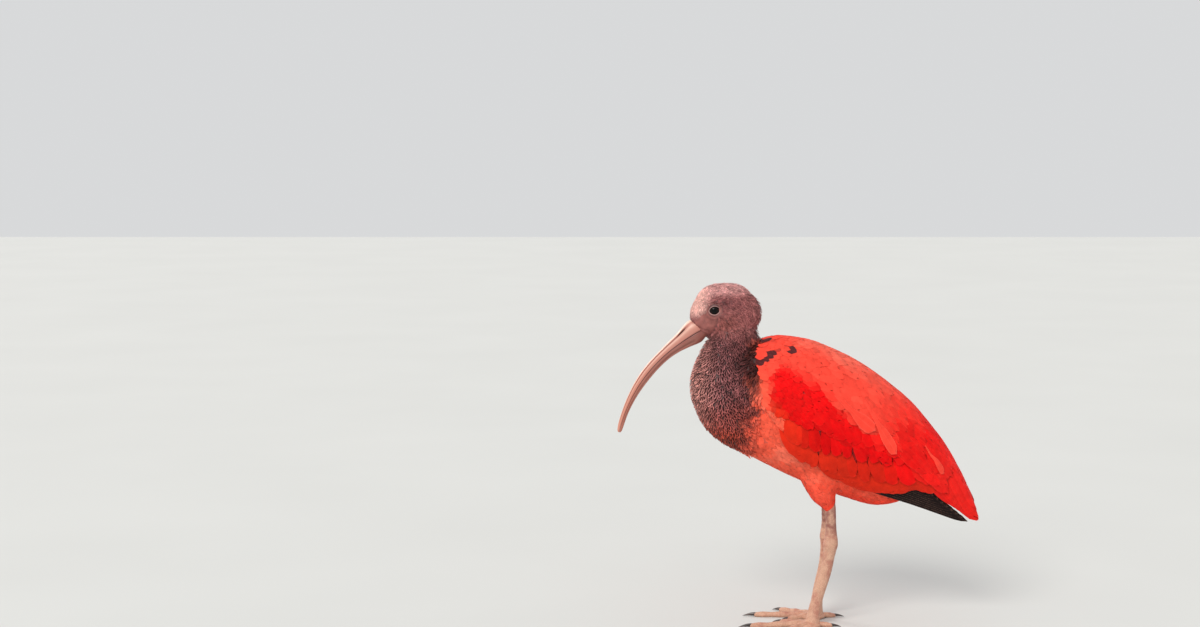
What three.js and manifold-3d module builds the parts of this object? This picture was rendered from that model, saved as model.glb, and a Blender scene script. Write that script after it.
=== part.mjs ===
// A scarlet ibis standing with its neck drawn in, life size, in millimetres.
// The bill points to -X, the bird's left side is -Y and +Z is up. The feet stand on z = 0.
import * as THREE from 'three';
import { mergeVertices } from 'three/addons/utils/BufferGeometryUtils.js';
import Module from 'manifold-3d';

const wasm = await Module();
wasm.setup();

// Places of the whole bird
const MIDDLE_X = 19.3;            // moves the middle of the bird's length onto the origin
const BODY_TILT = THREE.MathUtils.degToRad(31);   // the trunk slopes down to the tail
const GAP = 0.3;                  // between two pieces that touch

// The dressed body, folded wings included, as places along the trunk and heights across it
const BACK_LINE = [[-206, 227], [-190, 240], [-150, 254.6], [-105, 259], [-53, 254.6], [7.5, 236], [44, 217],
  [74, 197], [88, 187]];
const BELLY_LINE = [[-206, 117], [-160, 114], [-92, 119.6], [-37, 129.4], [0, 147], [11, 160], [36, 165],
  [88, 172]];
const SIDE_LINE = [[-206, 38], [-190, 47], [-160, 56], [-120, 60], [-80, 57], [-50, 51], [-20, 44], [10, 36],
  [40, 26], [65, 17], [88, 9]];
const SIDE_FULLNESS = 0.94;       // below 1 the sections are fuller than an ellipse

// The trunk under the wings
const TRUNK_FRONT = -220;
const TRUNK_REAR = 16;
const TRUNK_TOP = [[-220, 186], [-214, 206], [-206, 223], [-190, 238], [-170, 244], [-140, 247], [-105, 250],
  [-53, 245], [-20, 235], [0, 222], [16, 205]];
const TRUNK_BOTTOM = [[-220, 142], [-214, 124], [-206, 117], [-188, 113], [-160, 114], [-115, 117], [-92, 119.6],
  [-37, 129.4], [-16, 135.6], [1, 147], [16, 168]];
const TRUNK_SIDE = [[-220, 15], [-214, 25], [-206, 33], [-190, 41], [-160, 49], [-120, 51], [-80, 48], [-50, 42],
  [-20, 34], [0, 25], [16, 12]];
const TRUNK_SECTIONS = 18;
const TRUNK_SIDES = 20;

// The neck, drawn in, from the breast up to the head: x, z, front depth, rear depth, half width
const NECK = [[-55, 196, 20, 20, 42], [-80, 207, 24, 34, 45], [-97, 228, 29, 40, 43], [-101, 250, 32, 37, 36],
  [-96, 272, 30, 33, 27], [-87.5, 293, 27, 26, 20.5], [-84.5, 308, 24, 23.5, 17], [-84, 321, 14, 13, 9]];
const NECK_SECTIONS = 12;
const NECK_SIDES = 18;
const BIB_CUT = { x: -72, z: 232, lean: 0.12 };   // where the dark neck ends against the red trunk
const NAPE_CUT = { x: -88, z: 296.5, lean: 0.06 };

// The head from the base of the bill to its back: x, z, height above, height below, half width
const HEAD = [[-124.6, 311.6, 12.4, 15.6, 9.6], [-115, 321.5, 22.6, 22.5, 13.4], [-104, 327, 30, 25, 16.8],
  [-90.5, 328, 29.6, 26, 17.2], [-79, 324.5, 24, 24, 15.2], [-68.5, 318.5, 16, 17, 11], [-63, 315, 6, 6, 4]];
const HEAD_SECTIONS = 11;
const HEAD_SIDES = 20;
const EYE = { x: -108.2, z: 330, side: 12.2, radius: 5.6 };
const LID = { ring: 5.7, thick: 1.2, side: 14.6, turn: 0.26, tip: 0.1 };
const SOCKET_CLEAR = 0.3;
const GAPE = { rear: [-110.3, 313.2], front: [-129.5, 305.6], height: 0.9, depth: 20 };

// The bill bends down along one arc
const BILL_BASE = { x: -127.1, z: 305.2 };
const BILL_START = THREE.MathUtils.degToRad(28.2);   // slope of its first stretch
const BILL_RADIUS = 156.4;
const BILL_LENGTH = 134.3;
const BILL_SUNK = 10;              // of its root inside the skin of the face
const BILL_DEPTH = [[-10, 15], [0, 22], [14, 18.6], [26, 15], [40, 12.4], [70, 10.9], [97, 8], [113, 6.5],
  [126, 5.8], [132, 4.6], [134.3, 2.4]];
const BILL_WIDTH = [[-10, 12.6], [0, 15.6], [20, 12.4], [50, 9.6], [85, 7.6], [118, 6], [131, 4.6], [134.3, 2.6]];
const BILL_MOUTH = [[-10, 0.02], [30, -0.04], [80, -0.02], [134.3, 0]];   // mouth line, as a share of the depth
const BILL_STEPS = 16;
const NOSTRIL = { along: 12, above: 0.22, out: 0.36, length: 9, height: 1.4, depth: 1.8 };

// The legs, one each side of the middle
const LEG_SIDE = 19;
const RIGHT_BACK = 8;             // how far the right foot stands behind the left
const THIGH = [[6, 172, 27, 20], [4, 156, 24, 18], [5, 142, 17, 14], [9.5, 130, 10.4, 9.4], [12.4, 122, 6.8, 6.6],
  [13.1, 115, 6, 5.8]];
const SHANK = [[12.9, 119, 5.6, 5.2], [13.4, 108, 5.4, 5], [13.6, 99, 5.9, 5.2], [13.6, 92, 7, 5.8]];
const TARSUS = [[13.6, 95, 7, 5.8], [13.2, 87, 7.6, 6.2], [12.3, 80, 6.6, 5.2], [10.8, 70.6, 6, 4.4],
  [8.8, 60, 5.9, 4.2], [5.9, 49.5, 5.8, 4.2], [2.6, 39, 5.8, 4.2], [-0.4, 28.4, 5.8, 4.3], [-2.8, 17.8, 6.2, 4.9],
  [-4, 10, 7, 6.2], [-4.4, 3, 7.4, 7]];
const LEG_SIDES = 10;
const KNEE_HEM = 117;             // where the thigh's feathers end on the bare shank
const HOCK = 93.2;                // between the shank and the tarsus

// The toes grow from the foot's middle; turn is away from straight ahead, outward
const FOOT = { x: -4.2, padAhead: 6, padLength: 15, padHalf: 12.5, padHeight: 4.6, padRise: 2.2 };
const TOES = [
  { name: 'toe_middle', turn: 4, length: 66, claw: 12, root: 3.7, tip: 2.6, joints: 3 },
  { name: 'toe_outer', turn: 37, length: 46, claw: 9, root: 3.5, tip: 2.4, joints: 3 },
  { name: 'toe_inner', turn: -23, length: 36, claw: 8, root: 3.5, tip: 2.4, joints: 2 },
  { name: 'toe_hind', turn: 174, length: 20, claw: 9, root: 3.3, tip: 2.2, joints: 1 }];
const TOE_HEIGHT = 3.4;           // of a toe's axis above the ground at its root

// The folded wing's core as places along the trunk: its lower edge, upper edge and depth below the outer face
const WING_FRONT = -196;
const WING_REAR = 12;
const WING_LOWER = [[-196, 190], [-192, 181], [-185, 174], [-156, 163], [-121, 152], [-107, 150], [-87, 149],
  [-56, 152], [-36, 156], [12, 165]];
const WING_UPPER = [[-196, 206], [-193, 214], [-187, 225], [-170, 244], [-150, 253.6], [-105, 258.2], [-53, 253.8],
  [12, 233]];
const WING_SKIN = [[-196, 0.6], [-130, 1.2], [-95, 4.4], [12, 5.4]];
const WING_THICK = [[-196, 9], [-150, 13], [-60, 14], [12, 10]];
const WING_SECTIONS = 12;
const WING_ARC = 8;

// Tiers of wing feathers, from the back down. Each line of roots or tips is three places along the
// trunk, each with its angle round it (0 at the widest, 90 at the middle of the back). Depths are
// below the outer face, at the root and the tip. tilt raises the lower edge of a feather, and stack
// is how much deeper each next one lies.
const TIERS = [
  { name: 'secondaries', count: 6, roots: [[-98, -24], [-58, -22], [-2, -14]],
    tips: [[-68, -43], [-26, -41], [34, -44]], width: 20, sink: 8.2, lift: 4.2, tilt: 0.9, thick: 0.8 },
  { name: 'tertials', count: 4, roots: [[-18, 60], [-24, 36], [-30, 10]],
    tips: [[85, 14], [74, 0], [40, -24]], width: 28, sink: 6, lift: 0.8, tilt: 0.3, thick: 0.9, stack: 1.5, long: true },
  { name: 'greater coverts', count: 8, roots: [[-142, -14], [-100, -12], [-42, 8]],
    tips: [[-116, -33], [-76, -35], [0, -22]], width: 18, sink: 6.6, lift: 2.2, tilt: 0.9, thick: 0.8 },
  { name: 'median coverts', count: 7, roots: [[-164, 0], [-118, 4], [-62, 22]],
    tips: [[-138, -20], [-98, -18], [-38, 2]], width: 20, sink: 5.6, lift: 1.1, tilt: 0.9, thick: 0.8 },
  { name: 'lower scapulars', count: 5, roots: [[-160, 46], [-124, 38], [-84, 40]],
    tips: [[-118, 28], [-80, 14], [-26, 16]], width: 24, sink: 5.4, lift: 0.3, tilt: 0.9, thick: 0.8 },
  { name: 'upper scapulars', count: 5, roots: [[-168, 68], [-120, 62], [-66, 64]],
    tips: [[-122, 54], [-74, 44], [-6, 40]], width: 28, sink: 5, lift: 0, tilt: 0.9, thick: 0.8 },
  { name: 'back row', count: 4, roots: [[-160, 84], [-108, 82], [-54, 80]],
    tips: [[-106, 76], [-52, 71], [10, 66]], width: 24, sink: 4.6, lift: -0.2, tilt: 0.6, thick: 0.8 }];
const VANE_OUTLINE = [[0, 0.6], [0.76, 1], [1, 0.42]];
const LONG_OUTLINE = [[0, 0.6], [0.25, 0.84], [0.5, 1], [0.76, 0.86], [1, 0.26]];   // share of the length and of the width
const VANE_EDGE = 0.65;           // an edge's share of the thickness at the shaft
const JITTER = { along: 3, angle: 1.6, width: 0.06 };

// The flight feathers that show below the rear of the wing, and the tail
const PRIMARIES = { count: 6, rootS: 8, rootH: 171.5, rootSide: 23.5, tipS: 79, tipH: 178.5, tipSide: 4.3, width: 11,
  stepS: -7, stepH: -1, stepSide: 1.05, thick: 0.7, rootLength: 9 };
const TAIL = { count: 8, rootS: -6, rootH: 190, tipS: 62, tipH: 193, spread: 2.4, rootSpread: 1.8, width: 11,
  stepS: -1.6, stepH: -1.2, lean: 0.03, thick: 0.8, rootLength: 12 };

const COLOURS = {
  scarlet: 0xd4180f, rose: 0xd9624f, plum: 0x5c383b, skin: 0xb87468, horn: 0xcf8a78, leg: 0xd0948a, black: 0x241414,
  claw: 0x3a3434, eye: 0x120d0c };

// Returns a smooth line through [place, value] pairs that never overshoots them
function profile(points) {
  const slopes = points.map(() => 0);
  const steps = [];
  for (let i = 0; i < points.length - 1; i += 1) {
    steps.push((points[i + 1][1] - points[i][1]) / (points[i + 1][0] - points[i][0]));
  }
  slopes[0] = steps[0];
  slopes[points.length - 1] = steps[steps.length - 1];
  for (let i = 1; i < points.length - 1; i += 1) {
    const product = steps[i - 1] * steps[i];
    slopes[i] = product > 0 ? 2 * product / (steps[i - 1] + steps[i]) : 0;
  }
  return (place) => {
    let i = 0;
    while (i < points.length - 2 && place > points[i + 1][0]) i += 1;
    const span = points[i + 1][0] - points[i][0];
    const t = THREE.MathUtils.clamp((place - points[i][0]) / span, 0, 1);
    const rise = points[i][1] * (1 + 2 * t) * (1 - t) ** 2 + points[i + 1][1] * t * t * (3 - 2 * t);
    return rise + span * (slopes[i] * t * (1 - t) ** 2 - slopes[i + 1] * t * t * (1 - t));
  };
}

// Samples rows such as [x, z, sizes...] smoothly, by their number
function rows(table) {
  const lines = table[0].map((_, column) => profile(table.map((row, i) => [i, row[column]])));
  return (t) => lines.map((line) => line(t * (table.length - 1)));
}

// A point given along the trunk, across it and to the side
function trunkPoint(s, h, y) {
  const x = s * Math.cos(BODY_TILT) + h * Math.sin(BODY_TILT);
  const z = h * Math.cos(BODY_TILT) - s * Math.sin(BODY_TILT);
  return new THREE.Vector3(x, y, z);
}

// Joins rings of equally many points into one closed solid
function solidFromRings(rings) {
  const count = rings[0].length;
  const positions = [];
  rings.flat().forEach((p) => positions.push(p.x, p.y, p.z));
  const index = [];
  for (let r = 0; r < rings.length - 1; r += 1) {
    for (let i = 0; i < count; i += 1) {
      const a = r * count + i;
      const b = r * count + (i + 1) % count;
      index.push(a, b, b + count, a, b + count, a + count);
    }
  }
  [0, rings.length - 1].forEach((r) => {
    const centre = new THREE.Vector3();
    rings[r].forEach((p) => centre.addScaledVector(p, 1 / count));
    const middle = positions.length / 3;
    positions.push(centre.x, centre.y, centre.z);
    for (let i = 0; i < count; i += 1) {
      const a = r * count + i;
      const b = r * count + (i + 1) % count;
      index.push(...(r === 0 ? [middle, b, a] : [middle, a, b]));
    }
  });
  return solidFrom(positions, index);
}

// Makes a solid of a closed surface, turned so that it encloses a positive volume
function solidFrom(positions, index) {
  const mesh = (triangles) => new wasm.Mesh({
    numProp: 3, vertProperties: new Float32Array(positions), triVerts: new Uint32Array(triangles) });
  const solid = new wasm.Manifold(mesh(index));
  if (solid.volume() > 0) return solid;
  const turned = [];
  for (let i = 0; i < index.length; i += 3) turned.push(index[i], index[i + 2], index[i + 1]);
  return new wasm.Manifold(mesh(turned));
}

// Turns any closed three.js geometry into a solid
function solidFromGeometry(geometry, matrix) {
  const bare = geometry.clone();
  bare.deleteAttribute('normal');
  bare.deleteAttribute('uv');
  bare.applyMatrix4(matrix);
  const merged = mergeVertices(bare, 1e-4);
  return solidFrom(Array.from(merged.attributes.position.array), Array.from(merged.index.array));
}

// Keeps the largest closed surface of a solid, its sealed hollows filled
function largest(solid) {
  const pieces = solid.decompose();
  pieces.sort((a, b) => b.volume() - a.volume());
  return pieces[0];
}

// A closed ring round an axis: power below 1 makes it fuller than an ellipse
function ovalRing(sides, centre, up, side, above, below, half, power = 1) {
  const ring = [];
  for (let i = 0; i < sides; i += 1) {
    const angle = 2 * Math.PI * i / sides;
    const across = Math.sign(Math.cos(angle)) * Math.abs(Math.cos(angle)) ** power * half;
    const height = Math.sign(Math.sin(angle)) * Math.abs(Math.sin(angle)) ** power;
    const rise = height * (height > 0 ? above : below);
    ring.push(centre.clone().addScaledVector(side, across).addScaledVector(up, rise));
  }
  return ring;
}

const SIDEWAYS = new THREE.Vector3(0, 1, 0);

// A limb or neck: rows of x, z, depth ahead, depth behind and half width, along its own path
function limb(table, sections, sides, grow = 0, y = 0) {
  const sample = rows(table);
  const rings = [];
  for (let i = 0; i <= sections; i += 1) {
    const t = i / sections;
    const [x, z, ahead, behind, half] = sample(t);
    const [x0, z0] = sample(Math.max(t - 0.02, 0));
    const [x1, z1] = sample(Math.min(t + 0.02, 1));
    const along = new THREE.Vector3(x1 - x0, 0, z1 - z0).normalize();
    const up = new THREE.Vector3(-along.z, 0, along.x);
    const centre = new THREE.Vector3(x, y, z);
    if (i === 0) centre.addScaledVector(along, -grow);
    if (i === sections) centre.addScaledVector(along, grow);
    rings.push(ovalRing(sides, centre, up, SIDEWAYS, ahead + grow, behind + grow, half + grow));
  }
  return solidFromRings(rings);
}

function trunk(grow = 0) {
  const top = profile(TRUNK_TOP);
  const bottom = profile(TRUNK_BOTTOM);
  const side = profile(TRUNK_SIDE);
  const up = trunkPoint(0, 1, 0);
  const rings = [];
  for (let i = 0; i <= TRUNK_SECTIONS; i += 1) {
    // Sections crowd towards the two rounded ends
    const t = 0.5 - 0.5 * Math.cos(Math.PI * i / TRUNK_SECTIONS);
    const s = THREE.MathUtils.lerp(TRUNK_FRONT, TRUNK_REAR, 0.35 * i / TRUNK_SECTIONS + 0.65 * t);
    const half = (top(s) - bottom(s)) / 2 + grow;
    const centre = trunkPoint(s, (top(s) + bottom(s)) / 2, 0);
    rings.push(ovalRing(TRUNK_SIDES, centre, up, SIDEWAYS, half, half, side(s) + grow, SIDE_FULLNESS));
  }
  return solidFromRings(rings);
}

// A flat cut through the bird, leaning in x as it rises, as a unit normal and its offset
function cutPlane(cut, vertical) {
  const normal = vertical ? new THREE.Vector3(1, 0, -cut.lean) : new THREE.Vector3(cut.lean, 0, 1);
  normal.normalize();
  return { normal: normal.toArray(), offset: normal.x * cut.x + normal.z * cut.z };
}

function above(solid, cut, vertical) {
  const plane = cutPlane(cut, vertical);
  return solid.trimByPlane(plane.normal, plane.offset + GAP / 2);
}

function below(solid, cut, vertical) {
  const plane = cutPlane(cut, vertical);
  return solid.trimByPlane(plane.normal.map((n) => -n), GAP / 2 - plane.offset);
}

function eyeball(side, grow = 0) {
  const ball = new THREE.SphereGeometry(EYE.radius + grow, 12, 8);
  return solidFromGeometry(ball, new THREE.Matrix4().makeTranslation(EYE.x, side * EYE.side, EYE.z));
}

// The bare rim round an eye
function lid(side) {
  const ring = new THREE.TorusGeometry(LID.ring, LID.thick, 4, 14);
  const lean = new THREE.Euler(side * (Math.PI / 2 + LID.tip), 0, side * LID.turn, 'ZXY');
  const turn = new THREE.Matrix4().makeRotationFromEuler(lean);
  turn.setPosition(EYE.x, side * LID.side, EYE.z);
  return solidFromGeometry(ring, turn);
}

// The slit that carries the line of the mouth back into the cheeks
function gape() {
  const [x0, z0] = GAPE.rear;
  const [x1, z1] = GAPE.front;
  const length = Math.hypot(x1 - x0, z1 - z0) / 2;
  const slit = new THREE.SphereGeometry(1, 10, 8);
  slit.scale(length, GAPE.depth, GAPE.height);
  const turn = new THREE.Matrix4().makeRotationY(-Math.atan2(z0 - z1, x0 - x1));
  turn.setPosition((x0 + x1) / 2, 0, (z0 + z1) / 2);
  return solidFromGeometry(slit, turn);
}

// The bill's axis at a distance from its base: its place, and its up direction
function billFrame(along) {
  const start = BILL_START;
  const slope = start + along / BILL_RADIUS;
  const x = BILL_BASE.x - BILL_RADIUS * (Math.sin(slope) - Math.sin(start));
  const z = BILL_BASE.z - BILL_RADIUS * (Math.cos(start) - Math.cos(slope));
  return { centre: new THREE.Vector3(x, 0, z), up: new THREE.Vector3(-Math.sin(slope), 0, Math.cos(slope)), slope };
}

// Half of the bill: the cross section of the upper one has a ridge with a groove on each side
function billHalf(upper, grow = 0) {
  const depth = profile(BILL_DEPTH);
  const width = profile(BILL_WIDTH);
  const mouth = profile(BILL_MOUTH);
  const outline = upper
    ? [[1, 0], [1.02, 0.3], [0.84, 0.52], [0.66, 0.6], [0.62, 0.8], [0.36, 0.97], [0, 1.02]]
    : [[1, 0], [1, 0.34], [0.8, 0.66], [0.46, 0.9], [0, 1]];
  const mirrored = outline.slice(0, -1).map(([a, b]) => [-a, b]).reverse();
  const section = [...outline, ...mirrored];
  const rings = [];
  for (let i = 0; i <= BILL_STEPS; i += 1) {
    const along = THREE.MathUtils.lerp(-BILL_SUNK - grow, BILL_LENGTH, 1 - (1 - i / BILL_STEPS) ** 1.2);
    const { centre, up } = billFrame(along);
    const line = mouth(along) * depth(along);
    const reach = (upper ? depth(along) / 2 - line : -(depth(along) / 2 + line)) + (upper ? grow : -grow);
    const base = centre.clone().addScaledVector(up, line + (upper ? 0.5 : -0.5) * (GAP - 2 * grow));
    rings.push(section.map(([across, height]) => base.clone()
      .addScaledVector(SIDEWAYS, across * (width(along) / 2 + grow))
      .addScaledVector(up, height * reach)));
  }
  return solidFromRings(rings);
}

function nostril(side) {
  const { centre, up, slope } = billFrame(NOSTRIL.along);
  const slit = new THREE.SphereGeometry(1, 10, 6);
  slit.scale(NOSTRIL.length / 2, NOSTRIL.depth, NOSTRIL.height / 2);
  const turn = new THREE.Matrix4().makeRotationY(-slope);
  const width = profile(BILL_WIDTH)(NOSTRIL.along);
  const depth = profile(BILL_DEPTH)(NOSTRIL.along);
  const place = centre.clone().addScaledVector(up, NOSTRIL.above * depth);
  turn.setPosition(place.x, side * width * NOSTRIL.out, place.z);
  return solidFromGeometry(slit, turn);
}

const backLine = profile(BACK_LINE);
const bellyLine = profile(BELLY_LINE);
const sideLine = profile(SIDE_LINE);

// The wing's outer face, by place along the trunk, angle round it and depth below the face
function wingPoint(s, angle, depth) {
  const middle = (backLine(s) + bellyLine(s)) / 2;
  const half = (backLine(s) - bellyLine(s)) / 2;
  const side = sideLine(s);
  const power = (value) => Math.sign(value) * Math.abs(value) ** SIDE_FULLNESS;
  const out = new THREE.Vector2(Math.cos(angle) / side, Math.sin(angle) / half).normalize();
  const y = power(Math.cos(angle)) * side - out.x * depth;
  return trunkPoint(s, middle + power(Math.sin(angle)) * half - out.y * depth, y);
}

// The angle round the trunk at which the outer face has a given height
function wingAngle(s, h) {
  const middle = (backLine(s) + bellyLine(s)) / 2;
  const rise = THREE.MathUtils.clamp((h - middle) / ((backLine(s) - bellyLine(s)) / 2), -1, 1);
  return Math.asin(Math.sign(rise) * Math.abs(rise) ** (1 / SIDE_FULLNESS));
}

function wingCore() {
  const lower = profile(WING_LOWER);
  const upper = profile(WING_UPPER);
  const skin = profile(WING_SKIN);
  const thick = profile(WING_THICK);
  const rings = [];
  for (let i = 0; i <= WING_SECTIONS; i += 1) {
    const s = THREE.MathUtils.lerp(WING_FRONT, WING_REAR, i / WING_SECTIONS);
    const outer = [];
    const inner = [];
    for (let j = 0; j < WING_ARC; j += 1) {
      const t = j / (WING_ARC - 1);
      const angle = THREE.MathUtils.lerp(wingAngle(s, lower(s)), wingAngle(s, upper(s)), t);
      outer.push(wingPoint(s, angle, skin(s)));
      inner.push(wingPoint(s, angle, skin(s) + thick(s) * (0.35 + 0.65 * Math.sin(Math.PI * t))));
    }
    rings.push([...outer, ...inner.reverse()]);
  }
  return solidFromRings(rings).trimByPlane([0, 1, 0], GAP / 2);
}

// One feather as a thin closed vane. place(t, v) is its middle surface: t runs from root to tip
// and v from the edge below to the edge above. Both faces are split into triangles alike.
function vane(place, width, thick, outline = VANE_OUTLINE) {
  const columns = [-1, 0, 1];
  const faces = { top: [], bottom: [] };
  outline.forEach(([t, share]) => {
    const left = place(t, -width * share / 2);
    const right = place(t, width * share / 2);
    const ahead = place(Math.min(t + 0.05, 1), 0).sub(place(Math.min(t + 0.05, 1) - 0.05, 0));
    const normal = ahead.cross(right.clone().sub(left)).normalize();
    columns.forEach((v) => {
      const middle = place(t, v * width * share / 2);
      const half = thick / 2 * (v === 0 ? 1 : VANE_EDGE);
      faces.top.push(middle.clone().addScaledVector(normal, half));
      faces.bottom.push(middle.clone().addScaledVector(normal, -half));
    });
  });
  const count = faces.top.length;
  const index = [];
  const quad = (a, b, c, d) => index.push(a, b, c, a, c, d);
  const last = outline.length - 1;
  for (let r = 0; r < last; r += 1) {
    for (let c = 0; c < 2; c += 1) {
      const a = r * 3 + c;
      quad(a, a + 1, a + 4, a + 3);
      index.push(count + a, count + a + 4, count + a + 1, count + a, count + a + 3, count + a + 4);
    }
    quad(r * 3, r * 3 + 3, count + r * 3 + 3, count + r * 3);
    quad(r * 3 + 2, count + r * 3 + 2, count + r * 3 + 5, r * 3 + 5);
  }
  for (let c = 0; c < 2; c += 1) {
    quad(c, count + c, count + c + 1, c + 1);
    const end = last * 3 + c;
    quad(end, end + 1, count + end + 1, count + end);
  }
  const positions = [...faces.top, ...faces.bottom].flatMap((p) => p.toArray());
  return solidFrom(positions, index);
}

// A bent line through three places, at a share of its length
function bentLine(places, t) {
  const weights = [(1 - t) * (1 - 2 * t), 4 * t * (1 - t), t * (2 * t - 1)];
  return [0, 1].map((k) => places.reduce((sum, place, i) => sum + place[k] * weights[i], 0));
}

// Repeatable draws between -1 and 1
function draws(seed) {
  let state = seed;
  return () => {
    state = (state * 16807) % 2147483647;
    return 2 * state / 2147483647 - 1;
  };
}

function wingVane(tier, number, draw) {
  const share = number / (tier.count - 1);
  const root = bentLine(tier.roots, share);
  const tip = bentLine(tier.tips, share);
  const below = (tier.stack ?? 0) * number;
  const start = [root[0] + JITTER.along * draw(), root[1] + JITTER.angle * draw()];
  const end = [tip[0] + JITTER.along * draw(), tip[1] + JITTER.angle * draw()];
  const width = tier.width * (1 + JITTER.width * draw());
  const place = (t, across) => {
    const s = THREE.MathUtils.lerp(start[0], end[0], t);
    const angle = THREE.MathUtils.degToRad(THREE.MathUtils.lerp(start[1], end[1], t));
    const depth = THREE.MathUtils.lerp(tier.sink, tier.lift, Math.min(t * 1.6, 1)) + below;
    const step = 0.01;
    const reach = wingPoint(s, angle + step, depth).distanceTo(wingPoint(s, angle, depth)) / step;
    return wingPoint(s, angle + across / reach, depth + 2 * tier.tilt * across / width);
  };
  return vane(place, width, tier.thick, tier.long ? LONG_OUTLINE : VANE_OUTLINE);
}

function feathers(seed) {
  const draw = draws(seed);
  const vanes = [];
  TIERS.forEach((tier) => {
    for (let i = 0; i < tier.count; i += 1) vanes.push(wingVane(tier, i, draw));
  });
  return vanes;
}

function mirrored(solid, side) {
  return side > 0 ? solid : solid.mirror([0, 1, 0]);
}

// A square case round a bundle of feathers, which clears its neighbours. Each end is a place along
// the trunk, across it and to the side, with a half height and a half width.
function sheath(ends) {
  const corners = [[1, 1], [-1, 1], [-1, -1], [1, -1]];
  return solidFromRings(ends.map(([s, h, y, tall, wide]) => corners.map(
    ([across, rise]) => trunkPoint(s, h + rise * tall, y + across * wide))));
}

// The middle of the uppermost primary, at a place along the trunk
function primaryLine(s) {
  const p = PRIMARIES;
  const share = (s - p.rootS) / (p.tipS - p.rootS);
  return [THREE.MathUtils.lerp(p.rootH, p.tipH, share), THREE.MathUtils.lerp(p.rootSide, p.tipSide, share)];
}

function primariesSheath() {
  const p = PRIMARIES;
  const drop = p.stepH * (p.count - 1) / 2;
  const tall = p.width / 2 - drop + GAP;
  const wide = p.stepSide * p.count / 2 + p.thick + 2 * GAP;
  return sheath([p.rootS - 2, p.tipS + 4].map((s) => {
    const [h, y] = primaryLine(s);
    return [s, h + drop, y - p.stepSide / 2, tall, wide];
  }));
}

function tailSheath() {
  const f = TAIL;
  const drop = f.stepH * (f.count - 1) / 4;
  const tall = -drop + f.thick + GAP;
  return sheath([[f.rootS - 4, f.rootH + drop, 0, tall + 1, f.width + 2 * GAP],
    [f.tipS + 2, f.tipH + drop, 0, tall, f.spread * f.count / 2 + f.width / 2 + GAP]]);
}

// The long dark feathers lie nearly upright beside one another, each a little lower and shorter
function primaries() {
  const p = PRIMARIES;
  const vanes = [];
  for (let i = 0; i < p.count; i += 1) {
    const place = (t, across) => {
      const s = THREE.MathUtils.lerp(p.rootS, p.tipS + p.stepS * i, t);
      const [h, y] = primaryLine(s);
      return trunkPoint(s, h + p.stepH * i + across, y + p.stepSide * (i - p.count / 2));
    };
    vanes.push(vane(place, p.width, p.thick));
  }
  const root = new THREE.BoxGeometry(p.rootLength, p.stepSide * (p.count - 1) + p.thick, p.width * 0.5);
  const turn = new THREE.Matrix4().makeRotationY(BODY_TILT);
  const middle = p.rootS + p.rootLength * 0.4;
  const [h, y] = primaryLine(middle);
  turn.setPosition(trunkPoint(middle, h, y - p.stepSide / 2));
  return wasm.Manifold.union([solidFromGeometry(root, turn), ...vanes]);
}

// The tail is closed: each feather from the middle out lies a little lower than its neighbour
function tail() {
  const f = TAIL;
  const vanes = [];
  for (let i = 0; i < f.count; i += 1) {
    const from = i - (f.count - 1) / 2;
    const place = (t, across) => trunkPoint(
      THREE.MathUtils.lerp(f.rootS, f.tipS + f.stepS * Math.abs(from), t),
      THREE.MathUtils.lerp(f.rootH, f.tipH, t) + f.stepH * Math.abs(from) - Math.sign(from) * across * f.lean,
      from * THREE.MathUtils.lerp(f.rootSpread, f.spread, t) + across);
    vanes.push(vane(place, f.width, f.thick));
  }
  const root = new THREE.SphereGeometry(1, 12, 6);
  root.scale(f.rootLength, f.width, -f.stepH * f.count / 3);
  const turn = new THREE.Matrix4().makeRotationY(BODY_TILT);
  turn.setPosition(trunkPoint(f.rootS + f.rootLength, f.rootH + f.stepH * f.count / 4, 0));
  return wasm.Manifold.union([solidFromGeometry(root, turn), ...vanes]);
}

// How far a foot stands back from where the legs part
function setBack(side, z) {
  return side > 0 ? RIGHT_BACK * Math.max(1 - z / HOCK, 0) : 0;
}

function leg(table, side, grow = 0) {
  const full = table.map(([x, z, depth, half]) => [x + setBack(side, z), z, depth, depth, half]);
  return limb(full, Math.round((table.length - 1) * 1.3), LEG_SIDES, grow, side * LEG_SIDE);
}

// The pad under the tarsus, with the short webs between the toes
function footPad(side, grow = 0) {
  const pad = new THREE.SphereGeometry(1, 14, 6);
  pad.scale(FOOT.padLength + grow, FOOT.padHalf + grow, FOOT.padHeight + grow);
  const x = FOOT.x + setBack(side, 0) - FOOT.padAhead;
  return solidFromGeometry(pad, new THREE.Matrix4().makeTranslation(x, side * LEG_SIDE, FOOT.padRise));
}

// A toe lies along the ground, swollen at its joints, with a flat sole
function toe(spec, side) {
  const rings = [];
  const steps = spec.joints * 2 + 3;
  const turn = THREE.MathUtils.degToRad(spec.turn);
  const ahead = new THREE.Vector3(-Math.cos(turn), side * Math.sin(turn), 0);
  const across = new THREE.Vector3(-ahead.y, ahead.x, 0);
  const root = new THREE.Vector3(FOOT.x + setBack(side, 0), side * LEG_SIDE, 0);
  for (let i = 0; i <= steps; i += 1) {
    const t = i / steps;
    const swell = 1 + 0.12 * Math.cos(2 * Math.PI * t * (spec.joints + 0.5));
    const radius = THREE.MathUtils.lerp(spec.root, spec.tip, t) * swell;
    const centre = root.clone().addScaledVector(ahead, THREE.MathUtils.lerp(0, spec.length, t));
    centre.z = THREE.MathUtils.lerp(TOE_HEIGHT, spec.tip * 0.82, t);
    rings.push(ovalRing(8, centre, new THREE.Vector3(0, 0, 1), across, radius, radius, radius));
  }
  return { solid: solidFromRings(rings), root, ahead, across };
}

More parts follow.
